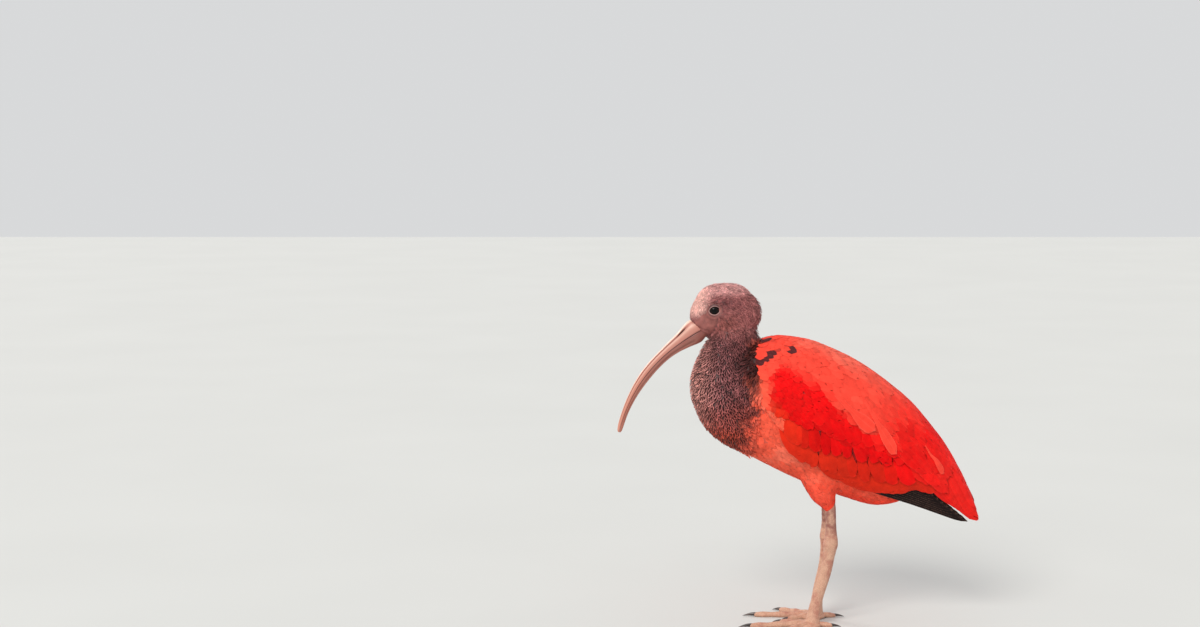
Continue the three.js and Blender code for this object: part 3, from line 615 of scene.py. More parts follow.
def head_colours(points):
    """Pale pink forehead with painted light from above on it and on the top of the crown, dark net over the
    brow and nape, and a ruddy cheek.
    """
    x, z = points[..., 0], points[..., 2]
    neck_tint, neck_fringe = body_colours(points)
    # Painted light from above: the top of the crown is painted paler, and the forehead, pale pink of its own,
    # paler still
    top = ramp(z - 0.1 * (x + 95), 340, 352)
    forehead = ramp(-x, 108, 126) * ramp(z, 318, 330)
    brow = 0.8 * spot(points, -97, 337, 13, 6)
    cheek = spot(points, -98, 315, 15, 11)
    tint = mix(CROWN_DARK, srgb(178, 114, 112), np.clip(0.75 * top + 0.4 * (noise(points, 5, 2) - 0.3), 0, 1))
    tint = mix(tint, srgb(226, 164, 154), 0.95 * forehead)
    tint = mix(tint, srgb(124, 70, 66), 0.8 * cheek)
    tint = mix(tint, srgb(66, 30, 36), brow)
    fringe = mix(NAPE_FRINGE, CROWN_LIT, np.clip(top + forehead, 0, 1))
    fringe = mix(mix(fringe, FOREHEAD, forehead), CHEEK, cheek)
    fringe = mix(fringe, srgb(144, 86, 86), brow)
    head = ramp(z - 0.1 * (x + 90), 292, 312)
    clump = (0.72 + 0.56 * noise(points, 3.2, 14))[..., None]
    return mix(neck_tint, tint * clump, head), mix(neck_fringe, fringe * (0.4 + 0.6 * clump), head)


# The edge of the scapulars over the coverts falls from the shoulder to the tertials
scapular_edge = profile([(-206, 192), (-188, 203), (-178, 213), (-145, 219), (-110, 214), (-30, 203),
                         (90, 189)])
wing_lower, wing_upper = profile(WING_LOWER), profile(WING_UPPER)


def dress_colours(points):
    """The colour of the feathers of the back and the folded wings, and the colour of their edges."""
    s, h = along_trunk(points)
    cloud = noise(points, 20, 3)
    fine = noise(points, 6, 4)
    low = 1 - ramp(h + 0.1 * s, 148, 196)
    tint = mix(SCARLET, DEEP_RED, np.clip(0.9 * low + 0.7 * (cloud - 0.5), 0, 1))
    tint = mix(tint, VERMILION, np.clip(ramp(s, -30, 30) * 0.9 + 0.4 * (cloud - 0.5), 0, 1))
    edge = 1 - ramp(h - wing_lower(s) + 7 * (fine - 0.5), 9, 20)
    tint = mix(tint, ORANGE, 0.85 * edge * (1 - ramp(s, 0, 40)))
    above = ramp(h - scapular_edge(s) + 10 * (cloud - 0.5), -5, 6)
    above = above * (1 - 0.92 * ramp(s + 30 * (cloud - 0.5), -90, -20))
    front = 1 - ramp(points[..., 0] + 7 * (fine - 0.5), -58, -47)
    # Painted light from above: the top of the back is painted paler, less so from the shoulders back
    lit_share = 0.4 * ramp(h + 12 * (cloud - 0.5), 238, 258) * (1 - 0.7 * ramp(s, -120, -80))
    coral = mix(CORAL, PALE_SALMON, lit_share + 0.04 * fine)
    coral = mix(coral, SALMON, 0.8 * front * (1 - ramp(points[..., 2], 255, 275)))
    tint = mix(tint, coral, np.clip(above + front, 0, 1))
    fringe = mix(tint, coral, 0.3 + 0.5 * above)
    brown = dark_patches(points)
    return mix(tint, srgb(84, 36, 38), brown), mix(fringe, srgb(140, 72, 66), brown)


# Brown feathers left from the first year on the shoulders: x, z, length and width, and 1 where only
# the bird's left side has them or 2 where both sides do
DARK_PATCHES = [(-57, 285, 15, 3.4, 2), (-31, 291, 5.5, 3.2, 1), (-52, 302, 6, 3, 2)]


def dark_patches(points):
    """1 on the brown feathers of the shoulders."""
    share = np.zeros(points.shape[:-1])
    for x, z, long, wide, sides in DARK_PATCHES:
        patch = spot(points, x, z, long, wide, 40) * ramp(np.abs(points[..., 1]), 3, 10)
        share = np.maximum(share, patch if sides == 2 else patch * (points[..., 1] < 0))
    return ramp(share + 0.3 * (noise(points, 3, 13) - 0.5), 0.36, 0.56)


def colours_at(points):
    """The colours of the skin under the coat, with those of the bare face."""
    x, z = points[..., 0], points[..., 2]
    s, h = along_trunk(points)
    winged = ramp(h - wing_lower(s), -3, 4) * ramp(s, -198, -190) * ramp(x, -72, -60)
    tint, fringe = [mix(a, b, winged) for a, b in zip(head_colours(points), dress_colours(points))]
    bare = bare_share(points) * ramp(z, 296, 302)
    face = mix(FACE, BLUSH, np.clip(0.4 + 1.4 * (noise(points, 3.2, 7) - 0.5), 0, 1))
    # Painted shade in the fold that runs back from the bill's mouth
    face = mix(face, srgb(120, 64, 60), 0.75 * bell(above_gape(points), 1.5) * ramp(-x, 106, 112))
    face = mix(face, srgb(120, 70, 68), 0.55 * bell(from_eye(points) - 9.5, 1.3))
    return mix(tint, face, bare), mix(fringe, BLUSH, bare)


# Skin

def join_forms(forms):
    points = np.concatenate([form[0] for form in forms])
    faces = []
    start = 0
    for form_points, form_faces in forms:
        faces += [tuple(start + i for i in face) for face in form_faces]
        start += len(form_points)
    return points, faces

def trunk_form(shrink, sections=40):
    top, bottom, side = profile(TRUNK_TOP), profile(TRUNK_BOTTOM), profile(TRUNK_SIDE)
    first, last = TRUNK_TOP[0][0] + shrink, TRUNK_TOP[-1][0] - shrink
    rings = []
    for i in range(sections + 1):
        share = 0.4 * i / sections + 0.6 * (0.5 - 0.5 * math.cos(math.pi * i / sections))
        s = first + share * (last - first)
        half = (top(s) - bottom(s)) / 2 - shrink
        centre = trunk_point(s, (top(s) + bottom(s)) / 2, 0)
        rings.append(oval(48, centre, trunk_point(0, 1, 0), SIDEWAYS, half, half, max(side(s) - shrink, 2),
                          SIDE_FULLNESS))
    return loft(rings)


def wing_form(side):
    """The folded arm and the roots of its feathers, under the tiers."""
    depth = profile([(-196, 2.6), (-130, 3.2), (-95, 5.6), (40, 6.4)])
    thick = profile([(-196, 8), (-150, 13), (-60, 14), (12, 10), (40, 6)])
    share = np.linspace(0, 1, 16)
    rings = []
    for i in range(31):
        s = -195 + i * 7.5
        low, high = wing_angle(s, wing_lower(s)), wing_angle(s, wing_upper(s))
        outer = wing_point(s, low + share * (high - low), depth(s))
        inside = depth(s) + thick(s) * (0.35 + 0.65 * np.sin(np.pi * share))
        ring = np.concatenate([outer, wing_point(s, low + share * (high - low), inside)[::-1]])
        ring[:, 1] = np.maximum(ring[:, 1], -1) * side
        rings.append(ring if side > 0 else ring[::-1])
    return loft(rings)


def head_detail(mesh):
    """Sinks the sockets, raises the brows and draws the folds of the bare face."""
    points = places(mesh)
    x, z = points[:, 0], points[:, 2]
    away = np.hypot(x - EYE[0], (z - EYE[2]) * 1.06)
    gape = above_gape(points) / 1.3
    move = 0.9 * bell(away - 8.2, 2.2) - 2.6 * bell(away, 5.2)
    move += 1.1 * spot(points, -107, 338.5, 8, 2.6)
    move -= np.exp(-(((x + 119.5) / 6.5) ** 2 + ((z - 322.5 + 0.55 * (x + 119.5)) / 3.4) ** 2))
    move += 0.7 * bell(gape + 2.2, 1.3) * ramp(-x, 106, 111) - 0.9 * bell(gape, 1) * ramp(-x, 107.5, 112)
    wrinkle = noise(points * [1.5, 1, 0.8], 1.5, 8) - 0.5 + 0.8 * (noise(points, 3.4, 12) - 0.5)
    move = move * ramp(np.abs(points[:, 1]), 5, 10) + 0.6 * wrinkle * bare_share(points)
    points += read(mesh.vertices, "normal") * (move * ramp(z, 296, 303))[:, None]
    mesh.vertices.foreach_set("co", place(points).ravel())
    mesh.update()


def add_skin():
    """One closed skin for the head, neck, trunk, thighs and folded wings."""
    forms = [trunk_form(COAT_TRUNK), limb(NECK, 40, 40, COAT_NECK), limb(HEAD, 40, 44, COAT_HEAD)]
    for side in (-1, 1):
        forms += [limb(THIGH, 20, 24, COAT_THIGH, side), wing_form(side)]
    rough = make_mesh("rough_skin", *join_forms(forms))
    remesh = rough.modifiers.new("remesh", "REMESH")
    remesh.mode = "VOXEL"
    remesh.voxel_size = VOXEL * MM
    smooth = rough.modifiers.new("smooth", "SMOOTH")
    smooth.factor = 0.5
    smooth.iterations = 7
    mesh = bpy.data.meshes.new_from_object(rough.evaluated_get(bpy.context.evaluated_depsgraph_get()))
    bpy.data.objects.remove(rough)
    fine = bmesh.new()
    fine.from_mesh(mesh)
    low = place((-100, 0, 288))[2]
    edges = [e for e in fine.edges if all(v.co.z > low for v in e.verts)]
    bmesh.ops.subdivide_edges(fine, edges=edges, cuts=1, use_grid_fill=True, smooth=0.6)
    bmesh.ops.triangulate(fine, faces=[f for f in fine.faces if len(f.verts) > 4])
    fine.to_mesh(mesh)
    fine.free()
    mesh.name = "skin"
    skin = add_object("skin", mesh)
    head_detail(mesh)
    shade_smooth(mesh)
    points = places(mesh)
    x, z = points[:, 0], points[:, 2]
    # Painted shade: the skin under the coat is painted at 0.7 of the coat's colours, so it reads dark between
    # the feathers; the bare face keeps its full colour and the skin under the forehead nearly all of it
    lit_share = np.maximum(bare_share(points) * ramp(z, 296, 302), 0.8 * ramp(-x, 106, 124) * ramp(z, 312, 322))
    dress_up(skin, "skin", *[colour * (0.7 + 0.3 * lit_share)[:, None] for colour in colours_at(points)])
    mesh.calc_loop_triangles()
    return skin, Surface(points, read(mesh.loop_triangles, "vertices", np.int64))


class Surface:
    """A surface in millimetres that feathers are laid on."""

    def __init__(self, points, triangles):
        self.tree = BVHTree.FromPolygons([Vector(p) for p in points], triangles.tolist())
        self.corners = points[triangles]
        a, b, c = self.corners[:, 0], self.corners[:, 1], self.corners[:, 2]
        self.areas = np.linalg.norm(np.cross(b - a, c - a), axis=1) / 2

    def nearest(self, points):
        found = [self.tree.find_nearest(Vector(p)) for p in points]
        return np.array([f[0] for f in found]), np.array([f[1] for f in found])

    def scatter(self, spacing, wanted, tries=5):
        """Places spread evenly over the part of the surface that wanted() keeps, spacing() apart."""
        middles = self.corners.mean(1)
        need = self.areas / spacing(middles) ** 2 * wanted(middles)
        count = int(tries * need.sum())
        pick = RNG.choice(len(need), count, p=need / need.sum())
        a, b = RNG.random(count), RNG.random(count)
        flip = a + b > 1
        a[flip], b[flip] = 1 - a[flip], 1 - b[flip]
        corners = self.corners[pick]
        places = corners[:, 0] + a[:, None] * (corners[:, 1] - corners[:, 0]) + b[:, None] * (
            corners[:, 2] - corners[:, 0])
        gaps = spacing(places)
        tree = kdtree.KDTree(count)
        for i, p in enumerate(places):
            tree.insert(p, i)
        tree.balance()
        free = np.ones(count, bool)
        kept = []
        for i in range(count):
            if free[i]:
                kept.append(i)
                for _, j, _ in tree.find_range(places[i], gaps[i]):
                    free[j] = False
        return places[kept]


def dress_surface():
    """The outer face of the folded wings and the back, from one lower edge over to the other."""
    s = np.linspace(-207, 90, 160)[:, None]
    angle = np.radians(np.linspace(-72, 252, 190))[None, :]
    grid = wing_point(s, angle, 0.0)
    rows, columns = grid.shape[:2]
    first = (np.arange(rows - 1)[:, None] * columns + np.arange(columns - 1)[None, :]).ravel()
    quads = np.stack([first, first + 1, first + columns + 1, first + columns], axis=1)
    return Surface(grid.reshape(-1, 3), np.concatenate([quads[:, [0, 1, 2]], quads[:, [0, 2, 3]]]))

# The lie of the coat: places on the bird and where the feathers there point, in its middle plane
LIE = [(-128, 318, 0.55, 0.83), (-118, 345, 0.8, 0.6), (-98, 357, 1, 0.08), (-76, 350, 0.75, -0.6),
       (-62, 325, 0.1, -1), (-92, 336, 1, -0.25), (-92, 316, 0.85, -0.5), (-104, 304, 0.3, -0.95),
       (-113, 300, -0.25, -0.97), (-62, 300, -0.05, -1), (-127, 272, -0.35, -0.94), (-133, 250, 0, -1),
       (-128, 224, 0.35, -0.93), (-98, 280, -0.12, -1), (-80, 285, -0.1, -1), (-104, 250, 0, -1),
       (-76, 255, 0.05, -1), (-95, 222, 0.4, -0.9), (-105, 198, 0.72, -0.7), (-75, 215, 0.55, -0.83),
       (-68, 178, 0.86, -0.5), (-50, 200, 0.75, -0.66), (-20, 165, 0.82, -0.57), (-10, 148, 0.85, -0.5),
       (30, 150, 0.9, -0.42), (60, 125, 0.95, -0.3), (100, 135, 0.95, -0.32), (5, 140, 0.3, -0.95),
       (11, 124, 0.12, -1), (-40, 302, 0.95, -0.2), (0, 295, 0.9, -0.4), (45, 272, 0.82, -0.57),
       (90, 240, 0.72, -0.7), (130, 190, 0.6, -0.8), (-40, 270, 0.85, -0.5), (-60, 288, 0.75, -0.6),
       (-20, 230, 0.8, -0.6), (40, 200, 0.84, -0.54)]


def flat_lie(points):
    """The direction of the coat in the bird's middle plane."""
    guides = np.array(LIE, float)
    dx = points[:, None, 0] - guides[None, :, 0]
    dz = points[:, None, 2] - guides[None, :, 1]
    weight = 1 / (dx ** 2 + dz ** 2 + 40) ** 1.6
    flat = weight @ (guides[:, 2:] / np.linalg.norm(guides[:, 2:], axis=1, keepdims=True))
    return unit(np.stack([flat[:, 0], np.zeros(len(points)), flat[:, 1]], axis=1))


def along_face(way, normals):
    """The part of a direction that runs along a surface, made one long."""
    return unit(way - normals * np.sum(way * normals, axis=1, keepdims=True))


def body_way(points, normals):
    """The direction of the coat at places on the skin."""
    return along_face(flat_lie(points), normals)


def fold_way(points, normals):
    """Feathers of the back and wing run to the wing's tip, and the coverts slant down across it."""
    s, h = along_trunk(points)
    covert = 1 - ramp(h - scapular_edge(s), -10, 6)
    rise = 0.8 * (176 - h) / (140 - s) - 0.2 * covert
    return along_face(trunk_point(1, 0, 0) + rise[:, None] * trunk_point(0, 1, 0), normals)


OUTLINE = profile([(0, 0.42), (0.3, 0.86), (0.6, 1), (0.85, 0.76), (0.95, 0.46), (1, 0.14)])
POINTED = profile([(0, 0.5), (0.3, 0.96), (0.55, 1), (0.8, 0.66), (1, 0.1)])
FEATHER = profile([(0, 0.34), (0.2, 0.7), (0.5, 0.96), (0.72, 1), (0.88, 0.8), (0.96, 0.48), (1, 0.1)])
LOBED = profile([(0, 0.3), (0.4, 0.4), (0.72, 0.95), (0.88, 0.95), (0.96, 0.6), (1, 0.1)])
QUILL = profile([(0, 0.5), (0.3, 0.9), (0.6, 1), (0.85, 0.84), (0.96, 0.46), (1, 0.06)])
BAKE_PATCH = 0.003


class VaneGrid:
    """A closed lens-shaped vane: rows along it, columns across it, and an underside between its edges."""

    def __init__(self, rows, columns):
        across = np.linspace(-1, 1, columns)
        self.along = np.linspace(0, 1, rows)
        self.spread = np.concatenate([across, across[1:-1]])
        self.upper = np.concatenate([np.ones(columns), -np.ones(columns - 2)])
        self.size = 2 * columns - 2
        top = list(range(columns))
        under = [0] + list(range(columns, self.size)) + [columns - 1]
        faces = []
        for r in range(rows - 1):
            a, b = r * self.size, (r + 1) * self.size
            for c in range(columns - 1):
                faces += [(a + top[c], a + top[c + 1], b + top[c + 1]),
                          (a + top[c], b + top[c + 1], b + top[c])]
                faces += [(a + under[c], b + under[c + 1], a + under[c + 1]),
                          (a + under[c], b + under[c], b + under[c + 1])]
        for r, turned in ((0, False), ((rows - 1) * self.size, True)):
            for c in range(columns - 1):
                caps = [(top[c], under[c + 1], top[c + 1])] if c + 1 < columns - 1 else []
                caps += [(top[c], under[c], under[c + 1])] if c else []
                faces += [tuple(r + i for i in (cap[::-1] if turned else cap)) for cap in caps]
        self.faces = np.array(faces, np.int64)

    def sharpen(self, mesh):
        """The rims of the vanes are sharp, so that their faces shade as flat as they are."""
        rows, columns = len(self.along), self.size // 2 + 1
        local = read(mesh.edges, "vertices", np.int64, 2) % (rows * self.size)
        row, column = local // self.size, local % self.size
        rim = (column[:, 0] == column[:, 1]) & ((column[:, 0] == 0) | (column[:, 0] == columns - 1))
        last = (row[:, 0] == 0) | (row[:, 0] == rows - 1)
        end = (row[:, 0] == row[:, 1]) & last & (column < columns).all(1)
        mesh.attributes.new("sharp_edge", "BOOLEAN", "EDGE").data.foreach_set("value", rim | end)

    def frayed(self, count, depth):
        """How far back each column of each vane ends, most at the tip, so that the barbs part there."""
        columns = len(self.spread) // 2 + 1
        worn = RNG.random((count, columns)) * (0.4 + 0.6 * np.abs(np.linspace(-1, 1, columns)))
        worn = np.concatenate([worn, worn[:, 1:-1]], axis=1)
        return depth[:, None, None] * worn[:, None, :] * self.along[None, :, None] ** 3

    def shape(self, half, thick, shares):
        """Offsets to the side and upward for vanes of that half width along their length."""
        wide = half[..., None] * self.spread
        lens = (1 - self.spread ** 2) * self.upper
        shaft = 0.5 * bell(self.spread, 0.16) * (self.upper > 0)
        return wide, thick * np.sqrt(np.clip(shares, 0.02, 1))[..., None] * (lens + shaft)


def vane_piece(name, material, grid, points, roots, tint, fringe, side=1):
    """One mesh of many vanes. points has a block for each feather, and roots place it on the bake's map."""
    count = len(points)
    points = points.reshape(count, -1, 3)
    total = points.shape[1]
    faces = (grid.faces[None] + (np.arange(count) * total)[:, None, None]).reshape(-1, 3)
    if side < 0:
        points, roots, faces = points * [1, -1, 1], roots * [1, -1, 1], faces[:, ::-1]
    piece = make_mesh(name, points.reshape(-1, 3), np.ascontiguousarray(faces))
    across, along = np.broadcast_arrays((grid.spread[None, :] + 1) / 2, grid.along[:, None])
    vane = np.tile(np.stack([across, along], axis=-1).reshape(-1, 2), (count, 1))
    add_uv(piece.data, "OFBake", np.repeat(unwrap(roots), total, axis=0) + (vane - 0.5) * BAKE_PATCH)
    add_uv(piece.data, "Vane", vane)
    grid.sharpen(piece.data)
    return dress_up(piece, material, np.repeat(tint, total, axis=0), np.repeat(fringe, total, axis=0))


def add_uv(mesh, name, per_vertex):
    corners = read(mesh.loops, "vertex_index", np.int64, 1)[:, 0]
    mesh.uv_layers.new(name=name).data.foreach_set("uv", per_vertex[corners].astype(np.float32).ravel())


# The middle line of the body in side view, from the bill over the neck to the tail
SPINE = [(-127, 322), (-96, 332), (-82, 312), (-92, 285), (-100, 252), (-92, 226), (-60, 215), (0, 205),
         (60, 175), (110, 145)]


def unwrap(points):
    """The skin laid flat, from bill to tail and round the body, for places on it: 0 to 1 each way."""
    spine = np.array(SPINE, float)
    ends = np.cumsum(np.concatenate([[0], np.linalg.norm(np.diff(spine, axis=0), axis=1)]))
    best, along, rise = np.full(len(points), 1e9), np.zeros(len(points)), np.zeros(len(points))
    flat = points[:, [0, 2]]
    for a, b, start in zip(spine[:-1], spine[1:], ends[:-1]):
        way = (b - a) / np.linalg.norm(b - a)
        t = np.clip((flat - a) @ way, 0, np.linalg.norm(b - a))
        gap = flat - a - t[:, None] * way
        away = np.linalg.norm(gap, axis=1)
        nearer = away < best
        best = np.where(nearer, away, best)
        along = np.where(nearer, start + t, along)
        rise = np.where(nearer, gap @ np.array([-way[1], way[0]]), rise)
    turn = np.arctan2(points[:, 1], rise)
    return np.stack([0.01 + 0.98 * along / ends[-1], 0.01 + 0.98 * (turn + math.pi) / (2 * math.pi)], axis=1)


def varied(share, count):
    """Factors round 1 that differ by about that share."""
    return 1 + share * RNG.normal(0, 1, count)


def lay_coat(name, surface, material, roots, length, width, low, high, colours, way=body_way, grid=(5, 3),
             outline=OUTLINE, thick=0.16, camber=0.3, stray=8, ragged=0.06, fray=0.2, tuck=0.0, vary=0.07):
    """Lays feathers over a surface from their roots, each following it and the lie of the coat."""
    grid = VaneGrid(*grid)
    count, rows = len(roots), len(grid.along)
    here, normal = surface.nearest(roots)
    ahead = way(here, normal)
    turn = np.radians(RNG.normal(0, stray, count))
    ahead = unit(ahead * np.cos(turn)[:, None] + np.cross(normal, ahead) * np.sin(turn)[:, None])
    length = length * varied(0.1, count)
    width = width * varied(0.08, count)
    high = high * varied(0.1, count)
    path = [(here, normal, ahead)]
    for _ in range(rows - 1):
        here, found = surface.nearest(here + ahead * (length / (rows - 1))[:, None])
        normal = unit(normal * 0.5 + found)
        ahead = along_face(ahead, normal)
        path.append((here, normal, ahead))
    centre, normal, ahead = [np.stack(part, axis=1) for part in zip(*path)]
    shares = outline(grid.along)[None, :] * varied(ragged, (count, rows))
    half = width[:, None] * shares / 2
    wide, rise = grid.shape(half, thick, shares)
    height = low + (high - low)[:, None] * ramp(grid.along, -0.15, 1.05)[None, :]
    height -= tuck * ramp(grid.along, 0.55, 1)[None, :]
    rise = rise + height[..., None] - camber * half[..., None] * grid.spread ** 2
    side = unit(np.cross(normal, ahead))
    points = centre[:, :, None] + side[:, :, None] * wide[..., None] + normal[:, :, None] * rise[..., None]
    points -= grid.frayed(count, fray * length)[..., None] * ahead[:, :, None]
    tint, fringe = colours(centre[:, rows // 2])
    shade = (1 + vary * np.clip(RNG.normal(0, 1, count), -3, 3))[:, None]
    return vane_piece(name, material, grid, points, roots, tint * shade, fringe * shade)


MATERIALS = {}


def coat_depth(points):
    """How far the tips of the head's and neck's feathers stand off the skin."""
    x, z = points[:, 0], points[:, 2]
    deep = COAT_HEAD + (COAT_NECK - COAT_HEAD) * (1 - ramp(z, 298, 318))
    return deep + 1.2 * ramp(x, -76, -62) * ramp(z, 286, 300) - 0.5 * ramp(-x, 116, 124) * ramp(z, 312, 320)


def on_head(points):
    clear = from_eye(points + 4.4 * flat_lie(points)) > 6.3
    return (points[:, 2] > 300) & (points[:, 0] < -50) & clear & (bare_share(points) < 0.5)


def on_neck(points):
    z = points[:, 2]
    return (z <= 300) & (points[:, 0] < np.minimum(neck_line(z) + 5, -64 + 4 * ramp(z, 270, 282)))


def on_thigh(points):
    x, y, z = points[:, 0], np.abs(points[:, 1]), points[:, 2]
    return (z < 154) & (z > 127) & (np.abs(y - LEG_SIDE) < 17) & (x > -18) & (x < 34)


def on_body(points):
    s, h = along_trunk(points)
    x, z = points[:, 0], points[:, 2]
    open_side = (h < wing_lower(s) + 8 - 9 * ramp(s, -160, -140)) | ((s < -178) & (x < -63))
    rest = (x >= neck_line(z) - 1) & (z < 306) & ((z > 131) | (x > 27))
    return rest & open_side & ~(on_thigh(points) & (z < 142))


def on_coverts(points):
    s, h = along_trunk(points)
    row = profile([(-200, 166), (-185, 176), (-156, 180), (-116, 188), (-60, 196), (-40, 200)])(s)
    return (h - scapular_edge(s) < 5) & (h > row - 5) & (s < -52) & (points[:, 0] > -65)


def on_mantle(points):
    s, h = along_trunk(points)
    return (h - scapular_edge(s) > -2) & (s < -84) & (points[:, 0] > -67)


def on_scapulars(points):
    s, h = along_trunk(points)
    return (h - scapular_edge(s) > 0) & (s >= -110) & (s < 4)


def on_rump(points):
    s, h = along_trunk(points)
    return (np.abs(points[:, 1]) < 15 - 0.1 * s) & (s >= -14) & (s < 42) & (h > 190)


def by_height(start, rise, low, high):
    """A size that changes by rise between two heights."""
    return lambda points: start + rise * ramp(points[:, 2], low, high)


def by_trunk(start, rise, low, high):
    """A size that changes by rise between two places along the trunk."""
    return lambda points: start + rise * ramp(along_trunk(points)[0], low, high)


def head_gap(points):
    return 0.95 + 0.42 * ramp(points[:, 0], -124, -102) + 0.25 * (1 - ramp(points[:, 2], 300, 318))


def add_coats(skin, dress):
    """The small feathers, region by region."""
    body = dict(surface=skin, slot="rose_feathers", size=(5.4, 1.9), colours=body_colours, material="soft",
                grid=(6, 5), outline=POINTED, stray=6, camber=0.05, thick=0.04, fray=0.3)
    back = dict(surface=dress, slot="scarlet_feathers", colours=dress_colours, way=fold_way, material="vane",
                camber=0.1)
    large = dict(back, grid=(11, 7), outline=FEATHER, ragged=0.03, fray=0.1, thick=0.1, tuck=0.4)

    def lay(name, wanted, gap, low, high, surface, slot, size, side=0, **settings):
        """Scatters roots gap apart, and makes feathers in proportion to it that reach from low to high."""

        def apart(points):
            return gap(points) if callable(gap) else np.full(len(points), float(gap))

        def here(points):
            return wanted(points) & (points[:, 1] * side > 0) if side else wanted(points)

        roots = surface.scatter(apart, here)
        high = high(roots) if callable(high) else np.full(len(roots), high)
        long, wide = size
        stand_for(lay_coat(name, surface, roots=roots, length=long * apart(roots), width=wide * apart(roots),
                           low=low, high=high, **settings), slot)

    lay("head_coat", on_head, head_gap, -0.3, coat_depth, skin, "plum_feathers", (3.1, 1.35),
        colours=head_colours, material="down", grid=(5, 4), outline=POINTED, thick=0.05, stray=12, camber=0.1,
        ragged=0.1, vary=0.2)
    for side, name in SIDES:
        lay(f"{name}_neck_coat", on_neck, by_height(2.3, -0.55, 265, 300), -0.7, coat_depth, skin,
            "plum_feathers", (3.1, 1.5), side, colours=body_colours, material="lace", grid=(5, 5), stray=11,
            camber=0.2, fray=0.28, vary=0.14)
        lay(f"{name}_breast_coat", on_body, 2.5, -0.5, COAT_TRUNK - 0.9, side=side, tuck=0.45, **body)
        lay(f"{name}_lesser_coverts", on_coverts, by_trunk(3.3, 2.6, -180, -60), -2.2, -1.2, size=(3.6, 2.1),
            side=side, grid=(6, 5), stray=4, thick=0.08, tuck=0.3, **back)
    lay("thigh_coat", on_thigh, by_height(1.3, 1.0, 124, 146), -0.5,
        by_height(0.3, COAT_THIGH - 1.2, 126, 150), tuck=0.4, **body)
    lay("mantle_coat", on_mantle, by_trunk(3.2, 3.4, -195, -110), -1.8, -0.3, size=(4.2, 2.1), grid=(7, 6),
        stray=5, thick=0.08, tuck=0.4, **back)
    lay("scapular_coat", on_scapulars, 6.4, -2.2, -0.3, size=(6.4, 2.0), stray=3.5, **large)
    lay("rump_coat", on_rump, 7.0, -2.8, -0.3, size=(5.4, 2.0), stray=3, **large)


# Tiers of large feathers on the folded wing. Roots and tips are three places along the trunk, each
# with its angle round it in degrees. Depths are below the outer face at the root and at the tip.
TIERS = [
    dict(count=13, roots=[(-112, -22), (-66, -20), (-10, -4)], tips=[(-58, -39), (-14, -36), (32, -20)],
         width=17, sink=7.4, lift=3.7, tilt=0.5, orange=0.6),
    dict(count=9, roots=[(-22, 74), (-30, 40), (-36, 8)], tips=[(80, 52), (88, 10), (64, -7)],
         width=22, sink=6.0, lift=1.0, tilt=0.4, stack=0.4),
    dict(count=15, roots=[(-150, -12), (-100, -10), (-24, 18)], tips=[(-116, -34), (-72, -34), (20, -10)],
         width=17, sink=5.8, lift=2.6, tilt=0.45, orange=0.25),
    dict(count=15, roots=[(-160, 0), (-116, 4), (-36, 30)], tips=[(-128, -20), (-88, -18), (4, 8)],
         width=17, sink=4.6, lift=2.0, tilt=0.4),
    dict(count=12, roots=[(-140, 16), (-100, 18), (-40, 36)], tips=[(-108, 0), (-70, 0), (0, 20)],
         width=17, sink=3.8, lift=1.4, tilt=0.4)]

# Three scapulars with lobed ends lie loose over the coverts: root and tip along and across the
# trunk, and width
LOOSE_SCAPULARS = [((-118, 220), (-62, 208), 15), ((-92, 232), (-30, 199), 13), ((-8, 222), (26, 205), 8)]


def three_places(places, share):
    share = np.asarray(share, float)
    weights = [(1 - share) * (1 - 2 * share), 4 * share * (1 - share), share * (2 * share - 1)]
    return sum(w[:, None] * np.array(p, float) for w, p in zip(weights, places))

def outer_face(places):
    """Places along the trunk and in degrees round it, on the wing's outer face."""
    return wing_point(places[:, 0], np.radians(places[:, 1]), 0.0)


def fold_vanes(grid, outline, root, tip, width, sink, lift, tilt, thick, bend=3.0, step=0.01):
    """Vanes between places on the wing's outer face, given along the trunk and in degrees round it."""
    t = grid.along[None, :, None]
    root_s, root_a = root.T[:, :, None, None]
    run_s, run_a = (tip - root).T[:, :, None, None]
    line_s = root_s + t * run_s
    line_a = np.radians(root_a + t * run_a - bend * np.sin(np.pi * t))
    depth = sink[:, None, None] + (lift - sink)[:, None, None] * ramp(t, -0.2, 0.75)
    shares = outline(grid.along)[None, :] * varied(0.03, (len(root), len(grid.along)))
    half = width[:, None] * shares / 2
    wide, rise = grid.shape(half, thick, shares)
    here, beside = wing_point(line_s, line_a, depth), wing_point(line_s, line_a + step, depth)
    reach = np.linalg.norm(beside - here, axis=-1)
    sag = 0.05 * half[..., None] * grid.spread ** 2
    worn = grid.frayed(len(root), 0.05 * np.abs(tip - root)[:, 0])
    return wing_point(line_s - worn, line_a + wide * step / reach, depth + tilt * grid.spread - rise + sag)


